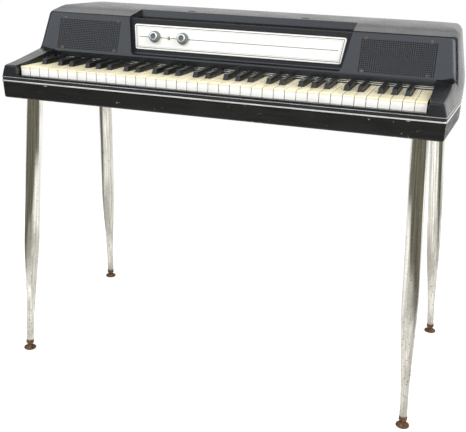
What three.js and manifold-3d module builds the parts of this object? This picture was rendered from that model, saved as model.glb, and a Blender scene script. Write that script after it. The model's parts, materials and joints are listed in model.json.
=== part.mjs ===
// Portable electric piano on four screw-in legs, in millimetres.
// +X runs to the player's right, +Y away from the player and +Z up.
// While it is built, y = 0 is the front edge of the white keys and z = 0 is the floor.
import * as THREE from "three";
import { mergeVertices } from "three/addons/utils/BufferGeometryUtils.js";
import Module from "manifold-3d";

const wasm = await Module();
wasm.setup();

// Clearances shared by all pieces
const seatGap = 0.3; // between pieces that rest on each other
const cutOverrun = 4; // how far a cutting body runs past what it cuts
const mergeDistance = 1e-4;

// Keyboard
const keyPitch = 23.5;
const whiteKeyCount = 38;
const keyTopHeight = 724;
const keyGap = 0.9;
const headLength = 50;
const plateLength = 152;
const plateThickness = 3;
const plateOverhang = 1;
const stickDepth = 21;
const stickLength = 345;
const sharpWidth = 11;
const sharpTopWidth = 9;
const sharpHeight = 11.5;
const sharpCapLength = 96;
const sharpFrontSlope = 4.5;
const sharpStickWidth = 10;
const sharpNotchGap = 1.4;
const sharpCapSink = 5; // how far the sharp's cap reaches below the key tops
const sharpFromShares = { A: 0.16, C: -0.106, D: 0.106, F: -0.16, G: 0 }; // off the boundary, of keyPitch
const stickSideGap = 0.15;
const bankBarHeight = 4.5;
const bankBarDepth = 8;
const bankBarY = 330; // the bar that ties a bank's white keys together
const sharpBarY = 300;
const balanceDepth = 200; // from the key fronts to the balance rail
const firstSingleWhite = 9; // white keys before this one form the low bank
const singleWhiteCount = 18;

// Case and cover in plan
const caseFront = -17.5;
const caseRear = 450;
const keyboardHalfWidth = (whiteKeyCount * keyPitch) / 2;
const wellSideGap = 2.5; // from the outer keys to the cheeks
const cheekWidth = 36.5;
const sideFlare = 17;
const rearDrawIn = 4;
const wellHalfWidth = keyboardHalfWidth + wellSideGap;
const frontHalfWidth = wellHalfWidth + cheekWidth;
const wideHalfWidth = frontHalfWidth + sideFlare;
const rearHalfWidth = wideHalfWidth - rearDrawIn;
const wideDepthShare = 0.5; // of caseRear, where the sides stop flaring
const easeDepthShare = 0.733; // where they have begun to draw in again
const easeInset = 1.6;
const flareShares = [0.25, 0.61, 0.7, 0.78, 0.85, 0.92]; // of wideDepth, where the flared side has points
const frontCornerRadius = 3.5;
const rearCornerRadius = 35;
const leastCornerRadius = 1; // of any inner corner

// Case bottom
const caseBottomDrop = 72; // its underside below the key tops
const caseWall = 15;
const caseFloor = 12;
const caseFrontDraft = 5.5;
const caseSideDraft = 0.5;
const caseEdgeRadius = 4;
const rimInset = 4.5;
const rimDrop = 22.8; // the rim's top below the key tops

// Trim band
const bandHeight = 12;
const bandStand = 1.8; // how far the beads stand proud
const beadHeight = 3.2;
const beadBevel = 0.8;

// Cover
const coverWall = 4;
const coverEdgeDrop = 22.5; // its lower edge below the key tops
const slipWidth = 13.5; // key slip, front to back
const slipDrop = 19;
const coverBulge = 1;
const bulgeHeight = 4; // the widest level, above the key tops
const sideLeanShare = 0.19;
const frontLeanShare = 0.29;
const rearLeanShare = 0.03;
const crownRadius = 18;
const faceFoot = 151; // the face's lower edge, behind the key fronts
const faceFootHeight = 20;
const faceTopHeight = 104;
const faceSlopeShare = 0.31875;
const faceInset = 2.5;
const faceRim = 4;
const faceCornerRadius = 9;
const faceRound = 12; // of the edge between a face and the cover's side
const faceRoundShares = [0, 0.1, 0.35, 1];
const lipHeight = 8.5; // the cover's lower lip above the key tops
const cheekFrontHeight = 2.2;
const cheekFrontLead = 4.5;
const cheekJoinHeight = 33;
const cheekJoinDepth = 147;
const cheekShares = [[0.327, 0.267], [0.816, 0.6], [0.932, 0.775]]; // depth and height before the join
const cheekClearHeight = 34.5;
const cheekFaceHeight = 42; // where the cheek's sweep meets the face
const frontFaceLeanShare = 0.06;
const crownTop = 126.3;
const crownShares = [[0.478, 0.911], [0.54, 0.958], [0.644, 0.99], [0.733, 1], [0.822, 0.992], [0.911, 0.96],
  [0.956, 0.918], [0.978, 0.859], [0.991, 0.766], [1, 0.594]]; // depth of caseRear, height of crownTop
const crownEndShares = [[0.5, 1], [0.82, 0.989], [0.9, 0.976], [0.95, 0.953], [0.98, 0.9]]; // the crown's ends
const levelShares = [-0.09, 0.03, 0.27, 0.5, 0.69, 0.76, 0.81, 0.85, 0.9, 0.95, 0.99, 1.04]; // of crownTop

// Control panel and its pocket
const pocketFoot = 23.5;
const pocketDepth = 167.8; // the pocket's wall behind the key fronts at its foot
const pocketTop = 107.7;
const pocketRake = 19.2;
const pocketFootHalfWidth = 245.4;
const pocketTopHalfWidth = 263;
const trayLip = 4;
const trayFloorHeight = 101;
const trayWallFoot = 234;
const trayWallTop = 243;
const panelThickness = 1.5;
const panelFootHalfWidth = 243.6;
const panelTopHalfWidth = 250.5;
const panelFootHeight = 36.3;
const panelTopHeight = 92;
const panelCornerRadius = 5;

// Knobs and lamp
const knobRadius = 13.8;
const knobDepth = 15;
const knobHeight = 65.5;
const knobSkirtHeight = 5;
const knobCapShare = 0.72;
const knobDishDepth = 1.6;
const volumeKnobInset = 46.6; // from the panel's left end
const knobPitch = 69.6;
const lampShare = 0.509; // of the way from knob to knob
const shaftRadius = 3.2;
const shaftLength = 14;
const shaftClearance = 0.8;
const lampHeight = 64.6;
const lampRadius = 3.2;
const lampDepth = 9;

// Key stop rail
const stopRailEndGap = 3;
const stopRailFoot = 1.4;
const stopBeadHeight = 2.2;
const stopBeadPitch = 4.2;
const stopRailThickness = 1.5;
const stopBeadDepth = 2.2;

// Legs and glides
const legRadius = 18;
const legTipRadius = 8.8;
const ferruleRadius = 9.4;
const ferruleHeight = 9;
const stemRadius = 3.2;
const ballRadius = 5;
const ballHeight = 8;
const legSeatInset = 48.3; // from the case's front corner
const legSeatY = 36;
const rearLegSeatInset = 49.7;
const rearLegSeatLead = 45.1; // in front of the case's rear
const splayX = 36.8; // from a front leg's seat out to its foot
const splayY = -18.6;
const rearSplayX = 46.7;
const rearSplayY = 109.1;
const legTipHeight = 16; // where the chromed tube ends, above the ball
const legTaperHeight = 286; // where the taper ends, above the ball
const legTaperShares = [[0.23, 0.05], [0.32, 0.15], [0.51, 0.36], [0.68, 0.63], [0.9, 0.91]]; // height, radius
const legSides = 20;
const legWall = 2;
const legBarWidth = 16; // the bar across the tube's top that carries the stud
const legBarHeight = 8;
const studRadius = 4.7;
const studLength = 11;
const studClearance = 0.4;
const glideRadius = 15;
const glideHeight = 9.6;
const glideRim = 3.5;
const glideBevel = 1.5;
const glideShoulderShares = [0.77, 0.75]; // of glideRadius and glideHeight
const cupClearance = 0.3;

// Inside
const railEndInset = 8.5; // from the keyboard's end
const frontRailY = 30;
const backRailLead = 15; // in front of the key sticks' rear ends
const railWidth = 24;
const railCrown = 4;
const crownFall = 2;
const frontRailDrop = 31.5;
const crossBarWidth = 20;
const crossBarHeight = 12;
const crossBarCount = 10;
const railFlatShare = 0.5;
const actionCount = 64;
const actionEndInset = 14.5;
const bracketEndGap = 3.5; // from the keyboard's end
const bracketThickness = 10;
const bracketLength = 105;
const bracketTop = 39.7;
const hammerRailLead = 45; // in front of the key sticks' rear ends
const hammerRailDepth = 18;
const hammerRailFoot = 8;
const hammerRailHeight = 14;
const hammerLength = 38;
const hammerHeadDepth = 7;
const hammerHeadTop = 33;
const hammerShankHeight = 6;
const hammerWidthShare = 0.5;
const reedBarLead = 25; // in front of the hammer rail
const reedBarDepth = 25;
const reedBarHeight = 12;
const reedSeatHeight = 4;
const reedLength = 40;
const reedThickness = 1.6;
const reedWidthShare = 0.45;
const damperDepth = 45;
const damperHeight = 6;
const damperLip = 8;
const speakerInset = 87.5; // from the cheek's inner face
const speakerHalfWidth = 79;
const speakerHalfHeight = 39;
const speakerHeight = 62;
const speakerMagnetRadius = 27;
const speakerDepth = 46;
const speakerRingShares = [[0.13, 0.26, 0.39], [0.84, 0.77, 0.043], [1, 1, 0], [1, 1, 0.054], [0.84, 0.8, 0.09],
  [0.43, 0.67, 0.74]]; // shares of the half width, half height and depth, from the dust cap round the rim
const speakerSides = 20;
const amplifierX = 70;
const amplifierLength = 260;
const amplifierDepth = 46;
const amplifierHeight = 44;
const chassisRearGap = 22; // from the case's rear to amplifier and transformer
const finCount = 8;
const finDepth = 14;
const transformerX = -290;
const transformerLength = 84;
const transformerDepth = 58;
const transformerHeight = 62;
const coilLengthShare = 0.55;
const coilOverhang = 9;
const pedalSocketY = 240;
const pedalFlangeRadius = 24;
const pedalFlangeThickness = 3;
const pedalNeckRadius = 11.5;
const pedalBoreRadius = 8;
const pedalNeckLength = caseFloor;
const cordInletX = -300;
const cordInletDrop = 48;
const inletHeadRadius = 9;
const inletHeadLength = 4;
const inletNeckRadius = 6;
const inletBoreRadius = 3.5;
const holeClearance = 0.5;

// Heights worked out from the sizes above
const caseUnderside = keyTopHeight - caseBottomDrop;
const trayFloorTop = caseUnderside + caseFloor;
const rimTop = keyTopHeight - rimDrop;
const bandFoot = rimTop - bandHeight;
const shoulder = bandFoot - seatGap;
const coverEdge = keyTopHeight - coverEdgeDrop;
const stickFoot = keyTopHeight - stickDepth;
const frameFoot = trayFloorTop + seatGap;

// Places worked out from the sizes above
const wideDepth = wideDepthShare * caseRear;
const easeDepth = easeDepthShare * caseRear;
const volumeKnobX = volumeKnobInset - panelFootHalfWidth;
const vibratoKnobX = volumeKnobX + knobPitch;
const lampX = volumeKnobX + lampShare * knobPitch;
const stopRailHalfLength = wellHalfWidth - stopRailEndGap;
const legSeatX = frontHalfWidth - legSeatInset;
const rearLegSeatX = rearHalfWidth - rearLegSeatInset;
const rearLegSeatY = caseRear - rearLegSeatLead;
const railHalfLength = keyboardHalfWidth - railEndInset;
const backRailY = stickLength - backRailLead;
const actionHalfWidth = keyboardHalfWidth - actionEndInset;
const bracketInside = keyboardHalfWidth + bracketEndGap;
const bracketRear = stickLength;
const bracketFront = bracketRear - bracketLength;
const hammerRailY = stickLength - hammerRailLead;
const hammerFront = hammerRailY - hammerLength;
const reedBarY = hammerRailY - reedBarLead;
const speakerX = wellHalfWidth - speakerInset;
const chassisRear = caseRear - chassisRearGap;

const finishes = {
  cover: new THREE.MeshStandardMaterial({ color: 0x2b2e32, roughness: 0.55, metalness: 0 }),
  paint: new THREE.MeshStandardMaterial({ color: 0x1b1c1a, roughness: 0.5, metalness: 0 }),
  chrome: new THREE.MeshStandardMaterial({ color: 0xc9c9c4, roughness: 0.25, metalness: 1 }),
  panel: new THREE.MeshStandardMaterial({ color: 0xf4f3f0, roughness: 0.4, metalness: 0.1 }),
  knob: new THREE.MeshStandardMaterial({ color: 0x8a8f90, roughness: 0.35, metalness: 0.3 }),
  amber: new THREE.MeshStandardMaterial({ color: 0xc9922b, roughness: 0.2, metalness: 0 }),
  ivory: new THREE.MeshStandardMaterial({ color: 0xf0e8d2, roughness: 0.35, metalness: 0 }),
  ebony: new THREE.MeshStandardMaterial({ color: 0x222321, roughness: 0.5, metalness: 0 }),
  rust: new THREE.MeshStandardMaterial({ color: 0x5c4030, roughness: 0.7, metalness: 0.6 }),
  timber: new THREE.MeshStandardMaterial({ color: 0xb08d5b, roughness: 0.7, metalness: 0 }),
  aluminium: new THREE.MeshStandardMaterial({ color: 0xb9bcbd, roughness: 0.4, metalness: 1 }),
  steel: new THREE.MeshStandardMaterial({ color: 0x77797a, roughness: 0.45, metalness: 1 }),
  paper: new THREE.MeshStandardMaterial({ color: 0x2a2927, roughness: 0.9, metalness: 0 }),
  rubber: new THREE.MeshStandardMaterial({ color: 0x191919, roughness: 0.8, metalness: 0 }),
};

// Solids: triangles in, a closed body out, turned the right way round
function solidFromTriangles(points, triangles) {
  let volume = 0;
  for (const [a, b, c] of triangles) {
    volume += points[a].dot(new THREE.Vector3().crossVectors(points[b], points[c]));
  }
  const triVerts = new Uint32Array(triangles.length * 3);
  triangles.forEach(([a, b, c], i) => triVerts.set(volume > 0 ? [a, b, c] : [a, c, b], i * 3));
  const vertProperties = new Float32Array(points.flatMap((p) => [p.x, p.y, p.z]));
  return new wasm.Manifold(new wasm.Mesh({ numProp: 3, vertProperties, triVerts }));
}

function solid(geometry) {
  const bare = geometry.clone();
  bare.deleteAttribute("normal");
  bare.deleteAttribute("uv");
  const merged = mergeVertices(bare, mergeDistance);
  const place = merged.attributes.position;
  const points = [];
  for (let i = 0; i < place.count; i += 1) {
    points.push(new THREE.Vector3().fromBufferAttribute(place, i));
  }
  const triangles = [];
  for (let i = 0; i < merged.index.count; i += 3) {
    triangles.push([merged.index.getX(i), merged.index.getX(i + 1), merged.index.getX(i + 2)]);
  }
  return solidFromTriangles(points, triangles);
}

function geometryOf(body) {
  const mesh = body.getMesh();
  const place = new Float32Array((mesh.vertProperties.length / mesh.numProp) * 3);
  for (let i = 0; i < place.length / 3; i += 1) {
    for (let k = 0; k < 3; k += 1) {
      place[i * 3 + k] = mesh.vertProperties[i * mesh.numProp + k];
    }
  }
  const geometry = new THREE.BufferGeometry();
  geometry.setAttribute("position", new THREE.BufferAttribute(place, 3));
  geometry.setIndex(new THREE.BufferAttribute(new Uint32Array(mesh.triVerts), 1));
  geometry.computeVertexNormals();
  return geometry;
}

const joined = (bodies) => bodies.reduce((sum, body) => sum.add(body));

// The points of an outline at which it really turns
function corners(outline) {
  return outline.filter(([u, v], i) => {
    const [u0, v0] = outline[(i + outline.length - 1) % outline.length];
    const [u1, v1] = outline[(i + 1) % outline.length];
    return Math.abs((u - u0) * (v1 - v) - (v - v0) * (u1 - u)) > mergeDistance;
  });
}

function extruded(outline, depth) {
  const shape = new THREE.Shape(corners(outline).map(([u, v]) => new THREE.Vector2(u, v)));
  return new THREE.ExtrudeGeometry(shape, { depth, bevelEnabled: false });
}

// An outline in (y, z), carried along X from x0 to x1
function alongX(outline, x0, x1) {
  const turn = new THREE.Matrix4().set(0, 0, 1, x0, 1, 0, 0, 0, 0, 1, 0, 0, 0, 0, 0, 1);
  return solid(extruded(outline, x1 - x0).applyMatrix4(turn));
}

// An outline in (x, z), carried along Y from y0 to y1
function alongY(outline, y0, y1) {
  const turn = new THREE.Matrix4().set(1, 0, 0, 0, 0, 0, -1, y1, 0, 1, 0, 0, 0, 0, 0, 1);
  return solid(extruded(outline, y1 - y0).applyMatrix4(turn));
}

// An outline in (x, y), carried along Z from z0 to z1
const alongZ = (outline, z0, z1) => solid(extruded(outline, z1 - z0).translate(0, 0, z0));

function block(x0, x1, y0, y1, z0, z1) {
  const box = new THREE.BoxGeometry(x1 - x0, y1 - y0, z1 - z0);
  return solid(box.translate((x0 + x1) / 2, (y0 + y1) / 2, (z0 + z1) / 2));
}

// A profile of [radius, height] pairs turned about +Z
function turned(profile, sides) {
  const points = profile.map(([r, h]) => new THREE.Vector2(r, h));
  return new THREE.LatheGeometry(points, sides).rotateX(Math.PI / 2);
}

// An arc as [u, v] pairs, angles in degrees
function arc(u, v, radius, from, to, steps) {
  return Array.from({ length: steps + 1 }, (_, i) => {
    const angle = THREE.MathUtils.degToRad(from + ((to - from) * i) / steps);
    return [u + radius * Math.cos(angle), v + radius * Math.sin(angle)];
  });
}

// Rings of the same number of points, joined one to the next. The end rings are closed by a fan
// about their middles, or, if a plane is given by flat(), by a triangulation in it.
function lofted(rings, flat) {
  const count = rings[0].length;
  const points = rings.flat();
  const triangles = [];
  for (let r = 0; r < rings.length - 1; r += 1) {
    for (let i = 0; i < count; i += 1) {
      const j = (i + 1) % count;
      const base = r * count;
      triangles.push([base + i, base + j, base + count + j]);
      triangles.push([base + i, base + count + j, base + count + i]);
    }
  }
  const closed = (base, order) => {
    const ring = points.slice(base, base + count);
    if (flat) {
      const outline = ring.map(flat);
      const backwards = THREE.ShapeUtils.isClockWise(outline);
      for (const [a, b, c] of THREE.ShapeUtils.triangulateShape(outline, [])) {
        triangles.push(order([base + (backwards ? c : a), base + b, base + (backwards ? a : c)]));
      }
      return;
    }
    const middle = points.push(ring.reduce((sum, p) => sum.add(p), new THREE.Vector3()).divideScalar(count)) - 1;
    for (let i = 0; i < count; i += 1) {
      triangles.push(order([base + i, base + ((i + 1) % count), middle]));
    }
  };
  closed(0, ([a, b, c]) => [a, c, b]);
  closed((rings.length - 1) * count, (triangle) => triangle);
  return solidFromTriangles(points, triangles);
}

// The plan of case and cover: half of it, as corner centres and directions out of them
function planHalf(depths = flareShares.map((share) => share * wideDepth)) {
  const corner = (x, y, radius, from, to, steps) =>
    arc(0, 0, 1, from, to, steps).map(([nx, ny]) => ({ x, y, radius, nx, ny }));
  const side = (x, y) => ({ x, y, radius: 0, nx: 1, ny: 0 });
  const frontCentreY = caseFront + frontCornerRadius;
  const rearCentreY = caseRear - rearCornerRadius;
  return [
    ...corner(flare(frontCentreY) - frontCornerRadius, frontCentreY, frontCornerRadius, -90, 0, 3),
    ...depths.map((y) => side(flare(y), y)),
    side(wideHalfWidth, wideDepth),
    side(wideHalfWidth, (wideDepth + easeDepth) / 2),
    side(wideHalfWidth - easeInset, easeDepth),
    side((wideHalfWidth + rearHalfWidth) / 2, (easeDepth + rearCentreY) / 2),
    ...corner(rearHalfWidth - rearCornerRadius, rearCentreY, rearCornerRadius, 0, 90, 4),
  ];
}

const flare = (y) =>
  frontHalfWidth + ((wideHalfWidth - frontHalfWidth) * (y - caseFront)) / (wideDepth - caseFront);

// One closed ring of the plan at height z; insets say how far each side moves in
function planRing(z, frontInset, sideInset, rearInset, depths) {
  const right = planHalf(depths).map(({ x, y, radius, nx, ny }) => {
    const insetX = sideInset(y + radius * ny);
    if (radius === 0) return new THREE.Vector3(x - insetX, y, z);
    const outward = y > wideDepth ? 1 : -1;
    const insetY = y > wideDepth ? rearInset : frontInset;
    const turn = Math.max(radius - Math.max(insetX, insetY), leastCornerRadius);
    return new THREE.Vector3(
      x + radius - insetX - turn + turn * nx,
      y + outward * (radius - insetY - turn) + turn * ny,
      z,
    );
  });
  return [...right, ...right.map((p) => new THREE.Vector3(-p.x, p.y, p.z)).reverse()];
}

// Case bottom: a tray with drawn-in lower edges, and a rim inside the trim band
function caseBottom() {
  const level = (z, front, side, rear) => planRing(z, front, () => side, rear);
  const softened = caseEdgeRadius * (1 - Math.SQRT1_2);
  const shell = lofted([
    level(caseUnderside, caseFrontDraft + caseEdgeRadius, caseSideDraft + caseEdgeRadius, caseEdgeRadius),
    level(caseUnderside + softened, caseFrontDraft + softened, caseSideDraft + softened, softened),
    level(caseUnderside + caseEdgeRadius, caseFrontDraft, caseSideDraft, 0),
    level(shoulder, 0, 0, 0),
  ]);
  const rim = lofted([
    level(shoulder - cutOverrun, rimInset, rimInset, rimInset),
    level(rimTop, rimInset, rimInset, rimInset),
  ]);
  const pocket = lofted([
    level(trayFloorTop, caseWall, caseWall, caseWall),
    level(rimTop + cutOverrun, caseWall, caseWall, caseWall),
  ]);
  const stud = (x, y) => {
    const hole = new THREE.CylinderGeometry(studRadius + studClearance, studRadius + studClearance,
      caseFloor + 2 * cutOverrun, 16).rotateX(Math.PI / 2);
    return solid(hole.translate(x, y, caseUnderside + caseFloor / 2));
  };
  const neckHole = new THREE.CylinderGeometry(pedalNeckRadius + holeClearance,
    pedalNeckRadius + holeClearance, caseFloor + 2 * cutOverrun, 24).rotateX(Math.PI / 2);
  const cordHole = new THREE.CylinderGeometry(inletNeckRadius + holeClearance,
    inletNeckRadius + holeClearance, caseWall + 2 * cutOverrun, 16);
  return joined([shell, rim])
    .subtract(pocket)
    .subtract(stud(legSeatX, legSeatY))
    .subtract(stud(-legSeatX, legSeatY))
    .subtract(stud(rearLegSeatX, rearLegSeatY))
    .subtract(stud(-rearLegSeatX, rearLegSeatY))
    .subtract(solid(neckHole.translate(0, pedalSocketY, caseUnderside + caseFloor / 2)))
    .subtract(solid(cordHole.translate(cordInletX, caseRear - caseWall / 2, keyTopHeight - cordInletDrop)));
}

// Trim band: a strip with two proud beads, swept round the front and both sides to the rear corners
function trimBand() {
  const section = [
    [-rimInset + seatGap, bandHeight],
    [bandStand - beadBevel, bandHeight],
    [bandStand, bandHeight - beadBevel],
    [bandStand, bandHeight - beadHeight + beadBevel],
    [bandStand - beadBevel, bandHeight - beadHeight],
    [0, bandHeight - beadHeight],
    [0, beadHeight],
    [bandStand - beadBevel, beadHeight],
    [bandStand, beadHeight - beadBevel],
    [bandStand, beadBevel],
    [bandStand - beadBevel, 0],
    [-rimInset + seatGap, 0],
  ];
  const right = planHalf().map(({ x, y, radius, nx, ny }) => ({ x: x + radius * nx, y: y + radius * ny, nx, ny }));
  const left = right.map(({ x, y, nx, ny }) => ({ x: -x, y, nx: -nx, ny })).reverse();
  const path = [...left, ...right];
  const rings = path.map(({ x, y, nx, ny }) =>
    section.map(([out, up]) => new THREE.Vector3(x + nx * out, y + ny * out, bandFoot + up)));
  return lofted(rings, (p) => new THREE.Vector2(p.y, p.z));
}

// Cover: heights here are above the key tops
const faceAt = (height) => faceFoot + (height - faceFootHeight) * faceSlopeShare;
const faceWall = coverWall * Math.hypot(1, faceSlopeShare); // the wall measured along Y
const crown = [
  [pocketDepth + pocketRake, pocketTop],
  ...crownShares.map(([depthShare, heightShare]) => [depthShare * caseRear, heightShare * crownTop]),
];

function crownHeight(y) {
  const table = [[faceAt(faceTopHeight), faceTopHeight], ...crown];
  const next = table.findIndex(([depth]) => y <= depth);
  if (next <= 0) return next === 0 ? table[0][1] : table[table.length - 1][1];
  const [y0, z0] = table[next - 1];
  const [y1, z1] = table[next];
  return z0 + ((z1 - z0) * (y - y0)) / (y1 - y0);
}

const rimDepth = (height) => faceAt(Math.max(height, faceFootHeight)) - faceInset;

// How far the cover's side stands in from the plan at depth y and height z above the key tops
function sideInset(y, z) {
  const blend = THREE.MathUtils.smoothstep(y, caseFront, wideDepth);
  const reach = coverEdgeDrop + bulgeHeight;
  const below = Math.min(Math.max((bulgeHeight - z) / reach, 0), 1);
  const rear = z > bulgeHeight
    ? coverBulge - sideLeanShare * (z - bulgeHeight)
    : coverBulge * (1 - below * below);
  const front = -frontLeanShare * (z + coverEdgeDrop);
  const depth = y > faceFoot ? crownRadius - Math.max(crownHeight(y) - z, 0) : 0;
  const round = depth > 0 ? crownRadius - Math.sqrt(crownRadius ** 2 - depth ** 2) : 0;
  const bend = Math.min(Math.max(faceRound - (y - rimDepth(z)), 0), faceRound);
  const edge = (faceRound - Math.sqrt(faceRound ** 2 - bend ** 2)) * THREE.MathUtils.smoothstep(z, lipHeight, cheekFaceHeight);
  return round + edge - (front * (1 - blend) + rear * blend);
}

// An open line of [y, z] points moved by a distance to its right-hand side
function shifted(line, distance) {
  return line.map(([y, z], i) => {
    const [ya, za] = line[Math.max(i - 1, 0)];
    const [yb, zb] = line[Math.min(i + 1, line.length - 1)];
    const length = Math.hypot(yb - ya, zb - za);
    return [y + ((zb - za) / length) * distance, z - ((yb - ya) / length) * distance];
  });
}

const raised = (points) => points.map(([u, height]) => [u, height + keyTopHeight]);
const mirrored = (right) => [...right, ...right.map(([x, z]) => [-x, z]).reverse()];
const reach = wideHalfWidth + 10 * cutOverrun; // beyond the piano's sides

function coverBody(wall, profile) {
  const heights = [-coverEdgeDrop - (wall > 0 ? cutOverrun : 0), ...levelShares.map((share) => share * crownTop)];
  const rings = heights.map((height) => planRing(
    keyTopHeight + height,
    frontFaceLeanShare * (height + coverEdgeDrop) + wall,
    (y) => sideInset(y, height) + wall,
    rearLeanShare * (height + coverEdgeDrop) + wall,
    [flareShares[0] * wideDepth, ...faceRoundShares.map((share) => rimDepth(height) + share * faceRound),
      (rimDepth(height) + faceRound + wideDepth) / 2],
  ));
  const ends = raised([
    ...crownEndShares.map(([wideShare, highShare]) => [wideShare * rearHalfWidth, highShare * crownTop - wall]),
    [reach, crownShares[crownShares.length - 1][1] * crownTop],
    [reach, -coverEdgeDrop - 2 * cutOverrun],
  ]);
  return lofted(rings)
    .intersect(alongX(raised(profile), -reach, reach))
    .intersect(alongY(mirrored(ends.reverse()), caseFront - 2 * cutOverrun, caseRear + 2 * cutOverrun));
}

function coverOutside() {
  const rimFace = (height) => [rimDepth(height), height];
  const front = caseFront - cutOverrun;
  return coverBody(0, [
    [front, -coverEdgeDrop - cutOverrun],
    [front, cheekFrontHeight],
    [caseFront + cheekFrontLead, cheekFrontHeight],
    ...cheekShares.map(([depthShare, heightShare]) => [depthShare * cheekJoinDepth, heightShare * cheekJoinHeight]),
    [cheekJoinDepth, cheekJoinHeight],
    rimFace(cheekFaceHeight),
    rimFace(faceTopHeight - cutOverrun),
    ...crown,
    [caseRear + cutOverrun, crown[crown.length - 1][1]],
    [caseRear + cutOverrun, -coverEdgeDrop - cutOverrun],
  ]);
}

// The pocket for the control panel with the music desk tray above it; grow widens it by a wall
function pocketBody(grow) {
  const rake = pocketRake / (pocketTop - pocketFoot);
  const wallAt = (height) => pocketDepth + (height - pocketFoot) * rake;
  const front = faceFoot - 5 * cutOverrun;
  const above = crownTop + cutOverrun;
  const lipBack = wallAt(pocketTop) + trayLip;
  const across = grow > 0
    ? [
      [front, pocketFoot - grow],
      [wallAt(pocketFoot) + grow, pocketFoot - grow],
      [wallAt(trayFloorHeight) + grow, trayFloorHeight - grow],
      [trayWallFoot + grow, trayFloorHeight - grow],
      [trayWallTop + grow, crown[2][1] - grow],
      [trayWallTop + grow, above],
      [front, above],
    ]
    : [
      [front, pocketFoot - trayLip / 4],
      [wallAt(pocketFoot), pocketFoot],
      [wallAt(pocketTop), pocketTop],
      [lipBack, pocketTop],
      [lipBack + trayLip / 2, trayFloorHeight],
      [trayWallFoot, trayFloorHeight],
      [trayWallTop, crown[2][1]],
      [trayWallTop, above],
      [front, above],
    ];
  const corner = arc(pocketFootHalfWidth + grow - panelCornerRadius, pocketFoot - grow, panelCornerRadius, -90, 0, 4)
    .map(([x, height]) => [x, height + panelCornerRadius - trayLip / 2]);
  const ends = mirrored([
    ...corner,
    [pocketTopHalfWidth + grow, pocketTop],
    [pocketTopHalfWidth + grow - trayLip, above],
  ]);
  return alongX(raised(across), -reach, reach).intersect(alongY(raised(ends), front, caseRear));
}

// Panel and loudspeakers stand on planes that lean back; these place them, z outwards
function leaning(y, height, lean) {
  const place = new THREE.Group();
  place.position.set(0, y, keyTopHeight + height);
  place.rotation.x = Math.PI / 2 - lean;
  place.updateMatrixWorld();
  return place;
}

const panelLean = Math.atan2(pocketRake, pocketTop - pocketFoot);
const faceLean = Math.atan(faceSlopeShare);
const panelPlace = leaning(pocketDepth, pocketFoot, panelLean);
const facePlace = leaning(faceFoot, faceFootHeight, faceLean);
const alongPanel = (height) => (height - pocketFoot) / Math.cos(panelLean);

function panelHole(x, height, radius) {
  const length = 2 * (coverWall + panelThickness + cutOverrun);
  const hole = new THREE.CylinderGeometry(radius, radius, length, 16).rotateX(Math.PI / 2);
  return hole.translate(x, alongPanel(height), 0);
}

const controls = [
  [volumeKnobX, knobHeight, shaftRadius + shaftClearance],
  [vibratoKnobX, knobHeight, shaftRadius + shaftClearance],
  [lampX, lampHeight, lampRadius + seatGap],
];

function topCover() {
  const slipBack = caseFront + slipWidth;
  const backOfLip = faceFoot + faceWall;
  const sideAt = (height) => {
    const y = rimDepth(height) + faceRound;
    return flare(y) - sideInset(y, height) - faceRound - faceRim;
  };
  const cavity = coverBody(coverWall, [
    [backOfLip, -coverEdgeDrop - 2 * cutOverrun],
    [backOfLip, faceFootHeight],
    [faceAt(faceTopHeight - coverWall) + faceWall, faceTopHeight - coverWall],
    ...shifted(crown, coverWall),
    [caseRear + cutOverrun, shifted(crown, coverWall)[crown.length - 1][1]],
    [caseRear + cutOverrun, -coverEdgeDrop - 2 * cutOverrun],
  ]);
  const well = alongX(raised([
    [caseFront - 2 * cutOverrun, -slipDrop],
    [slipBack, -slipDrop],
    [slipBack, -coverEdgeDrop - cutOverrun],
    [backOfLip + seatGap, -coverEdgeDrop - cutOverrun],
    [backOfLip + seatGap, lipHeight],
    [faceFoot, lipHeight],
    [faceFoot, crownTop],
    [caseFront - 2 * cutOverrun, crownTop],
  ]), -wellHalfWidth, wellHalfWidth);
  const cornerHeight = faceTopHeight - faceCornerRadius;
  const face = alongX(raised([
    [faceFoot, faceFootHeight],
    [faceAt(faceTopHeight), faceTopHeight],
    [faceFoot - cutOverrun, faceTopHeight],
    [faceFoot - cutOverrun, faceFootHeight],
  ]), -reach, reach).intersect(alongY(raised(mirrored([
    [wellHalfWidth, faceFootHeight - cutOverrun],
    [wellHalfWidth, cheekClearHeight],
    [sideAt(cheekClearHeight), cheekClearHeight],
    ...arc(sideAt(cornerHeight) - faceCornerRadius, cornerHeight, faceCornerRadius, 0, 90, 3),
  ])), faceFoot - 2 * cutOverrun, faceAt(faceTopHeight) + cutOverrun));
  const holes = joined(controls.map(([x, height, radius]) =>
    solid(panelHole(x, height, radius).applyMatrix4(panelPlace.matrixWorld))));
  return coverOutside()
    .subtract(cavity.subtract(pocketBody(coverWall)))
    .subtract(joined([well, face]))
    .subtract(pocketBody(0))
    .subtract(holes);
}

// Control panel, in the panel's own plane
function controlPanel() {
  const foot = alongPanel(panelFootHeight);
  const top = alongPanel(panelTopHeight);
  const outline = mirrored([
    ...arc(panelFootHalfWidth - panelCornerRadius, foot + panelCornerRadius, panelCornerRadius, -90, 0, 3),
    ...arc(panelTopHalfWidth - panelCornerRadius, top - panelCornerRadius, panelCornerRadius, 0, 90, 3),
  ]);
  const holes = joined(controls.map(([x, height, radius]) => solid(panelHole(x, height, radius))));
  return alongZ(outline, seatGap, seatGap + panelThickness).subtract(holes);
}

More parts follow.
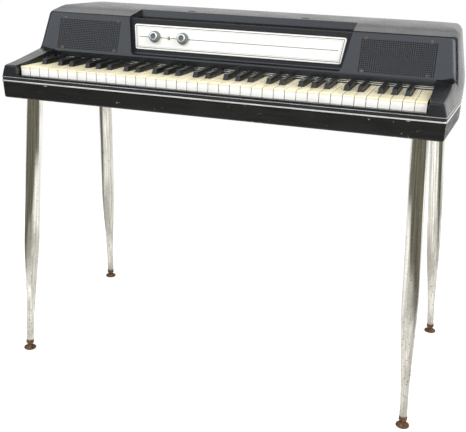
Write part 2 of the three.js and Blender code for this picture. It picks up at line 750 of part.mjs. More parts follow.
// A knob with its shaft; its skirt stands just clear of the panel
function knob() {
  const foot = 2 * seatGap + panelThickness;
  const cap = knobRadius * knobCapShare;
  return turned([
    [0, -shaftLength],
    [shaftRadius, -shaftLength],
    [shaftRadius, foot],
    [knobRadius, foot],
    [knobRadius, foot + knobSkirtHeight],
    [cap, knobDepth],
    [cap * knobCapShare, knobDepth],
    [cap * knobCapShare, knobDepth - knobDishDepth],
    [0, knobDepth - knobDishDepth],
  ], 24);
}

const pilotLamp = () => turned([
  [0, panelThickness + seatGap - lampDepth],
  [lampRadius, panelThickness + seatGap - lampDepth],
  [lampRadius, panelThickness + seatGap],
  ...arc(0, panelThickness + seatGap, lampRadius, 0, 90, 4).map(([r, h]) => [Math.max(r, 0), h]).slice(1, 4),
  [0, panelThickness + seatGap + lampRadius],
], 16);

function loudspeaker() {
  const oval = (halfWidth, halfHeight, depth) => Array.from({ length: speakerSides }, (_, i) => {
    const angle = (2 * Math.PI * i) / speakerSides;
    return new THREE.Vector3(halfWidth * Math.cos(angle), halfHeight * Math.sin(angle), -depth);
  });
  const rings = speakerRingShares.map(([wide, high, deep]) =>
    oval(wide * speakerHalfWidth, high * speakerHalfHeight, deep * speakerDepth));
  const magnetFront = speakerRingShares[speakerRingShares.length - 1][2] * speakerDepth;
  return lofted([
    ...rings,
    oval(speakerMagnetRadius, speakerMagnetRadius, magnetFront),
    oval(speakerMagnetRadius, speakerMagnetRadius, speakerDepth),
  ]);
}

// The bright double rail under the cover's lip
function keyStopRail() {
  const seat = faceFoot + faceWall + seatGap;
  const bead = (foot) => [
    [seat, foot],
    [seat - stopBeadDepth, foot],
    [seat - stopBeadDepth, foot + stopBeadHeight],
    [seat, foot + stopBeadHeight],
  ];
  return alongX(raised([
    ...bead(stopRailFoot),
    ...bead(stopRailFoot + stopBeadPitch),
    [seat, lipHeight + stopBeadPitch],
    [seat + stopRailThickness, lipHeight + stopBeadPitch],
    [seat + stopRailThickness, stopRailFoot],
  ]), -stopRailHalfLength, stopRailHalfLength);
}

// Legs: a chromed tube with its foot stem, cut level under the case, with a stud into the case
function leg(seatX, seatY, tipX, tipY) {
  const tip = new THREE.Vector3(tipX, tipY, ballHeight);
  const seat = new THREE.Vector3(seatX, seatY, caseUnderside);
  const run = new THREE.Vector3().subVectors(seat, tip);
  const neck = THREE.MathUtils.radToDeg(Math.acos(stemRadius / ballRadius));
  const taper = [
    [legTipRadius, legTipHeight],
    ...legTaperShares.map(([heightShare, radiusShare]) =>
      [legTipRadius + radiusShare * (legRadius - legTipRadius), heightShare * legTaperHeight]),
    [legRadius, legTaperHeight],
    [legRadius, run.length() + legRadius],
  ];
  const outside = [
    [0, -ballRadius],
    ...arc(0, 0, ballRadius, -90, neck, 5).slice(1),
    [stemRadius, legTipHeight - ferruleHeight],
    [ferruleRadius, legTipHeight - ferruleHeight],
    [ferruleRadius, legTipHeight],
    ...taper,
    [0, run.length() + legRadius],
  ];
  const inside = [
    [0, legTipHeight + legWall],
    ...taper.map(([radius, height]) => [radius - legWall, height + legWall]),
    [0, run.length() + legRadius + legWall],
  ];
  const turn = new THREE.Quaternion().setFromUnitVectors(new THREE.Vector3(0, 0, 1), run.clone().normalize());
  const [tube, hollow] = [outside, inside].map((profile) =>
    solid(turned(profile, legSides).applyQuaternion(turn).translate(tip.x, tip.y, tip.z)));
  const cutTop = caseUnderside - seatGap;
  const wide = 3 * legRadius;
  const above = block(seatX - wide, seatX + wide, seatY - wide, seatY + wide, cutTop, cutTop + wide);
  const bar = block(seatX - legBarWidth / 2, seatX + legBarWidth / 2, seatY - wide, seatY + wide,
    cutTop - legBarHeight, cutTop);
  const studFoot = cutTop - legBarHeight / 2;
  const stud = new THREE.CylinderGeometry(studRadius, studRadius, studLength + legBarHeight / 2, 16)
    .rotateX(Math.PI / 2)
    .translate(seatX, seatY, studFoot + (studLength + legBarHeight / 2) / 2);
  return tube.subtract(above).subtract(hollow.subtract(bar)).add(solid(stud));
}

// A domed foot with a cup for the leg's ball
function glide() {
  const cup = ballRadius + cupClearance;
  const mouth = THREE.MathUtils.radToDeg(Math.asin((glideHeight - ballHeight) / cup));
  const mouthRadius = cup * Math.cos(THREE.MathUtils.degToRad(mouth));
  return turned([
    [0, 0],
    [glideRadius - glideBevel, 0],
    [glideRadius, glideBevel],
    [glideRadius, glideRim],
    [glideRadius * glideShoulderShares[0], glideHeight * glideShoulderShares[1]],
    [mouthRadius + glideBevel, glideHeight],
    ...arc(0, ballHeight, cup, mouth, -90, 5).slice(0, 5),
    [0, ballHeight - cup],
  ], legSides);
}

// Keys
const letters = "ABCDEFG";
const whiteLeft = (index) => index * keyPitch - keyboardHalfWidth;
const whiteLetter = (index) => letters[index % letters.length];
const hasSharp = (index) =>
  index >= 0 && index < whiteKeyCount - 1 && sharpFromShares[whiteLetter(index)] !== undefined;
const sharpX = (index) => whiteLeft(index + 1) + sharpFromShares[whiteLetter(index)] * keyPitch;
const octave = (index) => 1 + Math.floor((index + letters.length - 2) / letters.length);

function whiteKey(index) {
  const notch = sharpWidth / 2 + sharpNotchGap;
  const left = whiteLeft(index) + keyGap / 2;
  const right = whiteLeft(index + 1) - keyGap / 2;
  const tailLeft = hasSharp(index - 1) ? sharpX(index - 1) + notch : left;
  const tailRight = hasSharp(index) ? sharpX(index) - notch : right;
  const outline = (side, front, rear) => [
    [left + side, front],
    [right - side, front],
    [right - side, headLength - side],
    [tailRight - side, headLength - side],
    [tailRight - side, rear],
    [tailLeft + side, rear],
    [tailLeft + side, headLength - side],
    [left + side, headLength - side],
  ].filter(([x, y], i, all) => i === 0 || x !== all[i - 1][0] || y !== all[i - 1][1]);
  const plate = alongZ(outline(0, -plateOverhang, plateLength), keyTopHeight - plateThickness, keyTopHeight);
  const stick = alongZ(outline(stickSideGap, 0, stickLength), stickFoot, keyTopHeight - plateThickness / 2);
  const behind = block(left - keyPitch, right + keyPitch, plateLength, stickLength + cutOverrun,
    keyTopHeight - plateThickness, keyTopHeight);
  return stick.subtract(behind).add(plate);
}

function sharpKey(index) {
  const x = sharpX(index);
  const ring = (halfWidth, front, z) => {
    const rear = headLength + sharpCapLength;
    return [[-halfWidth, front], [halfWidth, front], [halfWidth, rear], [-halfWidth, rear]]
      .map(([dx, y]) => new THREE.Vector3(x + dx, y, z));
  };
  const cap = lofted([
    ring(sharpWidth / 2, headLength + sharpNotchGap, keyTopHeight - sharpCapSink),
    ring(sharpWidth / 2, headLength + sharpNotchGap, keyTopHeight),
    ring(sharpTopWidth / 2, headLength + sharpNotchGap + sharpFrontSlope, keyTopHeight + sharpHeight),
  ]);
  const stick = block(x - sharpStickWidth / 2, x + sharpStickWidth / 2, headLength + 2 * sharpNotchGap, stickLength,
    stickFoot, keyTopHeight - sharpCapSink + keyGap);
  return stick.add(cap);
}

// A bank: its keys as one body, tied by a bar over the white sticks and one under the sharps' sticks
function whiteBank(first, count) {
  const keys = Array.from({ length: count }, (_, i) => whiteKey(first + i));
  const bar = block(whiteLeft(first) + keyGap, whiteLeft(first + count) - keyGap, bankBarY, bankBarY + bankBarDepth,
    keyTopHeight - plateThickness - keyGap / 2, keyTopHeight - plateThickness + bankBarHeight);
  return joined([...keys, bar]);
}

function sharpBank(first, count) {
  const indices = Array.from({ length: count }, (_, i) => first + i).filter(hasSharp);
  const top = stickFoot - seatGap;
  const posts = indices.map((index) => block(sharpX(index) - sharpStickWidth / 3, sharpX(index) + sharpStickWidth / 3,
    sharpBarY, sharpBarY + bankBarDepth, top - seatGap, stickFoot + seatGap));
  const bar = block(sharpX(indices[0]), sharpX(indices[indices.length - 1]), sharpBarY, sharpBarY + bankBarDepth,
    top - bankBarHeight, top);
  return joined([...indices.map(sharpKey), ...posts, bar]);
}

// Key frame: front, balance and back rails on cross bars
function keyFrame() {
  const rail = (y, top, crownDrop) => alongX([
    [y - railWidth / 2, frameFoot],
    [y + railWidth / 2, frameFoot],
    [y + railWidth / 2, top - crownDrop],
    [y + (railCrown * railFlatShare) / 2, top],
    [y - (railCrown * railFlatShare) / 2, top],
    [y - railWidth / 2, top - crownDrop],
  ], -railHalfLength, railHalfLength);
  const span = 2 * railHalfLength - crossBarWidth;
  const bars = Array.from({ length: crossBarCount }, (_, i) => {
    const x = -span / 2 + (span * i) / (crossBarCount - 1);
    return block(x - crossBarWidth / 2, x + crossBarWidth / 2, frontRailY, backRailY, frameFoot + seatGap,
      frameFoot + crossBarHeight);
  });
  return joined([
    rail(frontRailY, keyTopHeight - frontRailDrop, crownFall),
    rail(balanceDepth, stickFoot - seatGap, crownFall),
    rail(backRailY, stickFoot - seatGap, crownFall),
    ...bars,
  ]);
}

// A comb in plan: a spine from y1 to y2 with one tooth for each note from y0 to y1
function comb(y0, y1, y2, widthShare, halfLength) {
  const pitch = (2 * actionHalfWidth) / actionCount;
  const teeth = Array.from({ length: actionCount }, (_, i) => {
    const x = -actionHalfWidth + (i + 0.5) * pitch;
    const half = (pitch * widthShare) / 2;
    return [[x - half, y1], [x - half, y0], [x + half, y0], [x + half, y1]];
  });
  return [[-halfLength, y1], ...teeth.flat(), [halfLength, y1], [halfLength, y2], [-halfLength, y2]];
}

function hammerRail() {
  const rear = hammerRailY + hammerRailDepth;
  const top = hammerRailFoot + hammerRailHeight;
  const shank = hammerRailFoot + (hammerRailHeight - hammerShankHeight) / 2;
  const end = bracketInside + bracketThickness / 2;
  const hammers = alongX(raised([
    [hammerRailY, hammerRailFoot],
    [rear, hammerRailFoot],
    [rear, top],
    [hammerRailY, top],
    [hammerRailY, shank + hammerShankHeight],
    [hammerFront + hammerHeadDepth, shank + hammerShankHeight],
    [hammerFront + hammerHeadDepth, hammerHeadTop],
    [hammerFront, hammerHeadTop],
    [hammerFront, shank],
    [hammerRailY, shank],
  ]), -end, end).intersect(alongZ(comb(hammerFront - cutOverrun, hammerRailY, rear + cutOverrun, hammerWidthShare, end),
    keyTopHeight, keyTopHeight + hammerHeadTop + cutOverrun));
  const bracket = [
    [bracketFront, frameFoot - keyTopHeight],
    [bracketRear, frameFoot - keyTopHeight],
    [bracketRear, hammerRailFoot],
    [bracketRear - (bracketTop - hammerRailFoot) / 2, bracketTop],
    [bracketFront + (bracketTop - hammerRailFoot) / 2, bracketTop],
    [bracketFront, hammerRailFoot],
  ];
  return joined([
    hammers,
    alongX(raised(bracket), bracketInside, bracketInside + bracketThickness),
    alongX(raised(bracket), -bracketInside - bracketThickness, -bracketInside),
  ]);
}

function reedBar() {
  const foot = bracketTop + seatGap;
  const end = bracketInside + bracketThickness;
  return alongX(raised([
    [reedBarY, foot],
    [reedBarY + reedBarDepth, foot],
    [reedBarY + reedBarDepth, foot + reedBarHeight],
    [reedBarY, foot + reedBarHeight],
    [reedBarY, foot + reedSeatHeight + reedThickness],
    [reedBarY - reedLength, foot + reedSeatHeight + reedThickness],
    [reedBarY - reedLength, foot + reedSeatHeight],
    [reedBarY, foot + reedSeatHeight],
  ]), -end, end).intersect(alongZ(comb(reedBarY - reedLength - cutOverrun, reedBarY,
    reedBarY + reedBarDepth + cutOverrun, reedWidthShare, end), keyTopHeight, keyTopHeight + crownTop));
}

function damperRail() {
  const foot = bracketTop + 2 * seatGap + reedBarHeight;
  const front = reedBarY + reedBarDepth / 2 - damperDepth;
  const tip = bracketTop + 2 * seatGap + reedSeatHeight + reedThickness;
  return alongX(raised([
    [front, tip],
    [front + damperLip, tip],
    [front + damperLip, foot],
    [reedBarY + reedBarDepth / 2, foot],
    [reedBarY + reedBarDepth / 2, foot + damperHeight],
    [front, foot + damperHeight],
  ]), -actionHalfWidth, actionHalfWidth);
}

function amplifier() {
  const left = amplifierX - amplifierLength / 2;
  const right = amplifierX + amplifierLength / 2;
  const rear = chassisRear - finDepth;
  const pitch = amplifierLength / finCount;
  const fins = Array.from({ length: finCount }, (_, i) =>
    block(left + (i + 0.25) * pitch, left + (i + 0.5) * pitch, rear - seatGap, chassisRear,
      frameFoot + pitch / 4, frameFoot + amplifierHeight));
  return joined([block(left, right, rear - amplifierDepth, rear, frameFoot, frameFoot + amplifierHeight), ...fins]);
}

function powerTransformer() {
  const front = chassisRear - transformerDepth;
  const coil = (transformerLength * coilLengthShare) / 2;
  const core = block(transformerX - transformerLength / 2, transformerX + transformerLength / 2,
    front + coilOverhang, chassisRear - coilOverhang, frameFoot, frameFoot + transformerHeight);
  const winding = block(transformerX - coil, transformerX + coil, front, chassisRear,
    frameFoot + coilOverhang, frameFoot + transformerHeight - coilOverhang);
  return core.add(winding);
}

const pedalSocket = () => turned([
  [pedalBoreRadius, -pedalFlangeThickness],
  [pedalFlangeRadius, -pedalFlangeThickness],
  [pedalFlangeRadius, 0],
  [pedalNeckRadius, 0],
  [pedalNeckRadius, pedalNeckLength],
  [pedalBoreRadius, pedalNeckLength],
  [pedalBoreRadius, -pedalFlangeThickness],
], 24);

const cordInlet = () => turned([
  [inletBoreRadius, -caseWall],
  [inletNeckRadius, -caseWall],
  [inletNeckRadius, 0],
  [inletHeadRadius, 0],
  [inletHeadRadius, inletHeadLength / 2],
  [inletNeckRadius, inletHeadLength],
  [inletBoreRadius, inletHeadLength],
  [inletBoreRadius, -caseWall],
], 20);

// Assembly
const piano = new THREE.Group();

function piece(name, geometry, finish, parent = piano) {
  const mesh = new THREE.Mesh(geometry, finish.clone());
  mesh.name = name;
  parent.add(mesh);
  return mesh;
}

piece("case_bottom", geometryOf(caseBottom()), finishes.paint);
piece("top_cover", geometryOf(topCover()), finishes.cover);
piece("trim_band", geometryOf(trimBand()), finishes.chrome);
piece("key_stop_rail", geometryOf(keyStopRail()), finishes.aluminium);

piano.add(panelPlace);
piece("control_panel", geometryOf(controlPanel()), finishes.panel, panelPlace);
piece("volume_knob", knob(), finishes.knob, panelPlace).position.set(volumeKnobX, alongPanel(knobHeight), 0);
piece("vibrato_knob", knob(), finishes.knob, panelPlace).position.set(vibratoKnobX, alongPanel(knobHeight), 0);
piece("pilot_lamp", pilotLamp(), finishes.amber, panelPlace).position.set(lampX, alongPanel(lampHeight), 0);

piano.add(facePlace);
const speakerUp = (speakerHeight - faceFootHeight) / Math.cos(faceLean);
const speakerBack = -coverWall - seatGap;
for (const [side, sign] of [["left", -1], ["right", 1]]) {
  piece(`${side}_speaker`, geometryOf(loudspeaker()), finishes.paper, facePlace)
    .position.set(sign * speakerX, speakerUp, speakerBack);
}

for (const [side, sign] of [["left", -1], ["right", 1]]) {
  for (const [end, seatX, seatY, tipX, tipY] of [
    ["front", legSeatX, legSeatY, legSeatX + splayX, legSeatY + splayY],
    ["rear", rearLegSeatX, rearLegSeatY, rearLegSeatX + rearSplayX, rearLegSeatY + rearSplayY],
  ]) {
    piece(`${end}_${side}_leg`, geometryOf(leg(sign * seatX, seatY, sign * tipX, tipY)), finishes.chrome);
    piece(`${end}_${side}_glide`, glide(), finishes.rust).position.set(sign * tipX, tipY, 0);
  }
}

piece("key_frame", geometryOf(keyFrame()), finishes.timber);
piece("hammer_rail", geometryOf(hammerRail()), finishes.timber);
piece("reed_bar", geometryOf(reedBar()), finishes.aluminium);
piece("damper_rail", geometryOf(damperRail()), finishes.aluminium);
piece("amplifier", geometryOf(amplifier()), finishes.aluminium);
piece("power_transformer", geometryOf(powerTransformer()), finishes.steel);
piece("pedal_socket", pedalSocket(), finishes.steel).position.set(0, pedalSocketY, caseUnderside - seatGap);
const inlet = piece("cord_inlet", cordInlet(), finishes.rubber);
inlet.position.set(cordInletX, caseRear + seatGap, keyTopHeight - cordInletDrop);
inlet.rotation.x = -Math.PI / 2;

// Keys: each on its own pivot group at its middle; the outer ones as banks
const highBank = firstSingleWhite + singleWhiteCount;
for (let index = firstSingleWhite; index < highBank; index += 1) {
  const letter = whiteLetter(index).toLowerCase();
  const white = whiteKey(index);
  const middle = whiteLeft(index) + keyPitch / 2;
  piece(`key_${letter}${octave(index)}`, geometryOf(white).translate(-middle, 0, 0), finishes.ivory)
    .position.x = middle;
  if (hasSharp(index) && !(index === highBank - 1)) {
    piece(`key_${letter}_sharp${octave(index)}`, geometryOf(sharpKey(index)).translate(-sharpX(index), 0, 0),
      finishes.ebony).position.x = sharpX(index);
  }
}
piece("low_white_keys", geometryOf(whiteBank(0, firstSingleWhite)), finishes.ivory);
piece("low_sharp_keys", geometryOf(sharpBank(0, firstSingleWhite)), finishes.ebony);
piece("high_white_keys", geometryOf(whiteBank(highBank, whiteKeyCount - highBank)), finishes.ivory);
piece("high_sharp_keys", geometryOf(sharpBank(highBank - 1, whiteKeyCount - highBank)), finishes.ebony);

// The origin is under the middle of the whole piano, on the floor
const box = new THREE.Box3().setFromObject(piano);
piano.position.y = -(box.min.y + box.max.y) / 2;

export default piano;
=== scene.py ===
import json
import math

import bmesh
import bpy
from mathutils import Matrix, Vector

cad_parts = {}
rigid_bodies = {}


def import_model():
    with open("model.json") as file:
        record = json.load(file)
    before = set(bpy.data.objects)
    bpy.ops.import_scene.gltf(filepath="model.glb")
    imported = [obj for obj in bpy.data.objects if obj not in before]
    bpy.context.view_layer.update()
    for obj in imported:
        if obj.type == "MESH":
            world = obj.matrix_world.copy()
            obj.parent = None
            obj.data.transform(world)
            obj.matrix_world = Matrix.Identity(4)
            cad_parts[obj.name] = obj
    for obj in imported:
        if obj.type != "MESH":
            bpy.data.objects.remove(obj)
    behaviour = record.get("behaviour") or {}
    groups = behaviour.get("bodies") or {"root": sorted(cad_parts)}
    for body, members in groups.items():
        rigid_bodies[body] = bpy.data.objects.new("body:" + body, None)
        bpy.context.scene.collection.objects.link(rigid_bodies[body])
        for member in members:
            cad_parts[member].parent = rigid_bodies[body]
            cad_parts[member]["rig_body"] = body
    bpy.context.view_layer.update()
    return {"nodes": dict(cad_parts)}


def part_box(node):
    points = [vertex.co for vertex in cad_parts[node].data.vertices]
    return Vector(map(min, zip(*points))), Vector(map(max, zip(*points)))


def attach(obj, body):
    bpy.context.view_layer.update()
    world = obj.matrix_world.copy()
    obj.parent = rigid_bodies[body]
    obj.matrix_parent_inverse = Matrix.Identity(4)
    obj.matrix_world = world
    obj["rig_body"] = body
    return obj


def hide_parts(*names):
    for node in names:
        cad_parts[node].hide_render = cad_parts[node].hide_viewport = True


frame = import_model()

# Shapes are modelled in mm, with x = 0 in the middle of the keyboard, y = 0 at the front of the white keys
# and z = 0 at their tops. toFrame carries them to the frame's metres.
keyTopHeight = 0.724
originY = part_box("case_bottom")[1].y - 0.45
toFrame = Matrix.Translation((0, originY, keyTopHeight)) @ Matrix.Scale(0.001, 4)


def linear(colour):  # sRGB hex to Blender's linear values
    parts = [int(colour[i:i + 2], 16) / 255 for i in (0, 2, 4)]
    return [p / 12.92 if p <= 0.04045 else ((p + 0.055) / 1.055) ** 2.4 for p in parts] + [1]


def mixed(a, b, share):
    return a + (b - a) * share


def smoothStep(value, low, high):
    t = min(max((value - low) / (high - low), 0), 1)
    return t * t * (3 - 2 * t)


def addNode(tree, kind, inputs=None, ramp=None, **settings):
    node = tree.nodes.new(kind)
    for name, value in settings.items():
        setattr(node, name, value)
    for name, value in (inputs or {}).items():
        if isinstance(value, bpy.types.NodeSocket):
            tree.links.new(value, node.inputs[name])
        else:
            node.inputs[name].default_value = value
    if ramp:
        stops = node.color_ramp.elements
        while len(stops) < len(ramp):
            stops.new(0.5)
        for stop, (position, colour) in zip(stops, ramp):
            stop.position = position
            stop.color = linear(colour) if isinstance(colour, str) else [colour] * 3 + [1]
    return node


# Lines: lists of points in a plane
def oval(u, v, wide, tall, start, end, steps):
    angles = [math.radians(start + (end - start) * i / steps) for i in range(steps + 1)]
    return [(u + wide * math.cos(a), v + tall * math.sin(a)) for a in angles]


def arc(u, v, radius, start, end, steps):
    return oval(u, v, radius, radius, start, end, steps)


def curved(points, steps):  # a smooth line through the points
    line = []
    for i in range(len(points) - 1):
        p0, p1 = points[max(i - 1, 0)], points[i]
        p2, p3 = points[i + 1], points[min(i + 2, len(points) - 1)]
        for k in range(steps):
            t = k / steps
            line.append(tuple(0.5 * (2 * b + (c - a) * t + (2 * a - 5 * b + 4 * c - d) * t * t
                                     + (3 * b - a - 3 * c + d) * t ** 3)
                              for a, b, c, d in zip(p0, p1, p2, p3)))
    return line + [tuple(points[-1])]


def heightOn(line, y):  # the height of a rising line of (y, z) points at a depth
    for (y0, z0), (y1, z1) in zip(line, line[1:]):
        if y <= y1:
            return mixed(z0, z1, max(y - y0, 0) / (y1 - y0))
    return line[-1][1]


def bothSides(side):  # a right-hand outline closed by its mirror image
    return side + [(-x, z) for x, z in reversed(side)]


def bearing(vector):
    return math.degrees(math.atan2(vector.y, vector.x))


# Forms: meshes under construction
def lofted(rings):  # a skin over rings of points, closed by its first and last ring
    form = bmesh.new()
    rows = [[form.verts.new(p) for p in ring] for ring in rings]
    count = len(rows[0])
    for below, above in zip(rows, rows[1:]):
        for i in range(count):
            j = (i + 1) % count
            form.faces.new((below[i], below[j], above[j], above[i]))
    form.faces.new(rows[0][::-1])
    form.faces.new(rows[-1])
    return form


def turned(profile, sides):  # (radius, height) pairs turned about +Z, with closed poles
    form = bmesh.new()
    rows = []
    for radius, height in profile:
        turns = [2 * math.pi * i / sides for i in range(sides if radius > 0 else 1)]
        rows.append([form.verts.new((radius * math.cos(a), radius * math.sin(a), height)) for a in turns])
    for a, b in zip(rows, rows[1:]):
        for i in range(sides):
            j = (i + 1) % sides
            corners = [a[i % len(a)], a[j % len(a)], b[j % len(b)], b[i % len(b)]]
            form.faces.new(list(dict.fromkeys(corners)))
    bmesh.ops.remove_doubles(form, verts=form.verts, dist=1e-4)  # a ring's profile ends where it starts
    return form


def extrudedX(outline, x0, x1):  # an outline in (y, z), carried along X
    return lofted([[(x, y, z) for y, z in outline] for x in (x0, x1)])


def extrudedY(outline, y0, y1):
    return lofted([[(x, y, z) for x, z in outline] for y in (y0, y1)])


def extrudedZ(outline, z0, z1):
    return lofted([[(x, y, z) for x, y in outline] for z in (z0, z1)])


def rectangle(halfWide, low, high):
    return [(-halfWide, low), (halfWide, low), (halfWide, high), (-halfWide, high)]


def roundTool(x, y, z, radius, depth, sides=32, axis="Z"):
    form = turned([(0, -depth / 2), (radius, -depth / 2), (radius, depth / 2), (0, depth / 2)], sides)
    turn = Matrix.Rotation(math.radians(90), 4, "X") if axis == "Y" else Matrix.Identity(4)
    bmesh.ops.transform(form, matrix=Matrix.Translation((x, y, z)) @ turn, verts=form.verts)
    return form


def meshOf(form, name):
    bmesh.ops.recalc_face_normals(form, faces=form.faces)
    mesh = bpy.data.meshes.new(name)
    form.to_mesh(mesh)
    form.free()
    return mesh


def joinedForms(forms):
    total = bmesh.new()
    for form in forms:
        carrier = meshOf(form, "part")
        total.from_mesh(carrier)
        bpy.data.meshes.remove(carrier)
    return total


def cleanCopy(mesh, mergeWithin, flatAngle, matrix=Matrix.Identity(4)):  # without doubled points and flat edges
    form = bmesh.new()
    form.from_mesh(mesh)
    form.transform(matrix)
    bmesh.ops.remove_doubles(form, verts=form.verts, dist=mergeWithin)
    bmesh.ops.dissolve_limit(form, angle_limit=math.radians(flatAngle), verts=form.verts, edges=form.edges)
    return form


def extent(edge, axis):  # an edge's lowest and highest coordinate
    return sorted(v.co[axis] for v in edge.verts)


def rounded(form, width, segments, leastAngle, chosen):  # rounds the chosen sharp edges
    edges = [e for e in form.edges
             if len(e.link_faces) == 2 and e.calc_face_angle(0) > math.radians(leastAngle) and chosen(e)]
    bmesh.ops.bevel(form, geom=edges, offset=width, segments=segments, profile=0.5, affect="EDGES",
                    clamp_overlap=True)


# Objects
def linked(name, data):
    thing = bpy.data.objects.new(name, data)
    bpy.context.scene.collection.objects.link(thing)
    return thing


def tool(form, name="tool"):
    return linked(name, meshOf(form, name))


def placedOn(thing, matrix):
    thing.data.transform(matrix)
    return thing


def settled(thing):  # the object's mesh with its modifiers worked in
    mesh = bpy.data.meshes.new_from_object(thing.evaluated_get(bpy.context.evaluated_depsgraph_get()))
    thing.modifiers.clear()
    old, thing.data = thing.data, mesh
    bpy.data.meshes.remove(old)
    return thing


def cut(target, other, operation="DIFFERENCE"):
    change = target.modifiers.new("cut", "BOOLEAN")
    change.operation, change.solver, change.object = operation, "MANIFOLD", other
    settled(target)
    used = other.data
    bpy.data.objects.remove(other)
    bpy.data.meshes.remove(used)
    return target


def softened(piece, width, segments, chosen):  # rounds edges of a piece that boolean cuts have left untidy
    form = cleanCopy(piece.data, mergeWithin=0.02, flatAngle=0.6)
    rounded(form, width, segments, 28, chosen)
    form.to_mesh(piece.data)
    form.free()


def finished(piece, body, slot, materials, replaced=(), smoothAngle=35, weighted=False):
    mesh = piece.data
    mesh.transform(toFrame)
    if mesh.materials:
        mesh.materials.clear()
    for material in materials:
        mesh.materials.append(material)
    mesh.shade_smooth()
    mesh.set_sharp_from_angle(angle=math.radians(smoothAngle))
    if weighted:
        piece.modifiers.new("evenShade", "WEIGHTED_NORMAL").keep_sharp = True
    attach(piece, body)
    if replaced:
        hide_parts(*replaced)
    return piece


def pieceOf(name, form, body, slot, materials, at=Matrix.Identity(4), **settings):
    return finished(placedOn(tool(form, name), at), body, slot, materials, **settings)


# Materials: patterns lie in the object's own metres, and grain sizes are in mm
def emptyTree(holder):
    holder.use_nodes = True
    holder.node_tree.nodes.clear()
    return holder.node_tree


def newMaterial(name, **surface):
    material = bpy.data.materials.new(name)
    tree = emptyTree(material)
    shader = addNode(tree, "ShaderNodeBsdfPrincipled", surface)
    addNode(tree, "ShaderNodeOutputMaterial", {"Surface": shader.outputs[0]})
    place = addNode(tree, "ShaderNodeTexCoord").outputs["Object"]
    return material, tree, shader, place


def feed(tree, shader, values):
    for name, value in values.items():
        tree.links.new(value, shader.inputs[name])


def noise(tree, place, grainMm, detail=3, roughness=0.55, stretch=(1, 1, 1)):
    spread = addNode(tree, "ShaderNodeMapping", {"Vector": place, "Scale": stretch})
    return addNode(tree, "ShaderNodeTexNoise", {
        "Vector": spread.outputs[0], "Scale": 1000 / grainMm, "Detail": detail, "Roughness": roughness,
    }).outputs["Fac"]


def ramped(tree, value, stops):
    return addNode(tree, "ShaderNodeValToRGB", {"Fac": value}, ramp=stops).outputs["Color"]


def ranged(tree, value, low=0.0, high=1.0, start=0.0, end=1.0):  # carries low to high over to start to end
    return addNode(tree, "ShaderNodeMapRange", {
        "Value": value, "From Min": low, "From Max": high, "To Min": start, "To Max": end}).outputs[0]


def blended(tree, factor, a, b, kind="MIX"):
    node = addNode(tree, "ShaderNodeMix", data_type="RGBA", blend_type=kind)
    for index, value in ((0, factor), (6, a), (7, b)):
        if isinstance(value, bpy.types.NodeSocket):
            tree.links.new(value, node.inputs[index])
        else:
            node.inputs[index].default_value = value
    return node.outputs[2]


def computed(tree, operation, *values):
    return addNode(tree, "ShaderNodeMath", dict(enumerate(values)), operation=operation).outputs[0]


def product(tree, a, b):
    return computed(tree, "MULTIPLY", a, b)


def vectorMath(tree, operation, *values):
    return addNode(tree, "ShaderNodeVectorMath", dict(enumerate(values)), operation=operation).outputs


def bump(tree, shader, height, depthMm, strength=1):
    relief = addNode(tree, "ShaderNodeBump", {"Height": height, "Distance": depthMm / 1000, "Strength": strength})
    feed(tree, shader, {"Normal": relief.outputs[0]})


def axes(tree, place):
    return addNode(tree, "ShaderNodeSeparateXYZ", {"Vector": place}).outputs


# Vacuum-formed ABS sheet with a pressed leather grain: dark, half dull, paler where dust and rubbing grey it
def leatherGrainAbs(name, colours, depth=0.12, roughness=(0.4, 0.58), grain=1.5):
    material, tree, shader, place = newMaterial(name, IOR=1.53, **{"Specular IOR Level": 0.6})
    cells = addNode(tree, "ShaderNodeTexVoronoi", {"Vector": place, "Scale": 1000 / grain, "Randomness": 1},
                    feature="DISTANCE_TO_EDGE").outputs["Distance"]
    creases = ramped(tree, cells, [(0, 0.0), (0.16, 0.75), (0.5, 1.0)])
    cloud = noise(tree, place, 55, 4)
    fine = noise(tree, place, 2.2, 2)
    tone = ramped(tree, cloud, list(zip((0.32, 0.55, 0.75), colours)))
    feed(tree, shader, {"Base Color": blended(tree, 0.22, tone, fine, "OVERLAY"),
                        "Roughness": ranged(tree, cloud, 0.3, 0.7, *roughness)})
    bump(tree, shader, creases, depth, 0.42)
    return material


coverAbs = leatherGrainAbs("cover_grained_abs", ("131517", "181a1c", "1f2123"), roughness=(0.22, 0.32))
stripEnamel = leatherGrainAbs("trim_strip_vinyl", ("131415", "17181a", "1c1d1f"), depth=0.03)

# Chips in the paint grow towards the case's foot and shoulder, over a height in metres. Knocks along its front
# edges: x and z in metres, half a width in mm; knockDepth and knockHeight carry metres to a knock's reach.
enamelForm = {"foot": 0.652, "height": 0.06, "frontY": originY - 0.0225, "knockDepth": 50, "knockHeight": 780,
              "knocks": [(-0.3756, 0.687, 5), (0.4152, 0.6878, 4.5), (-0.203, 0.6655, 3)]}


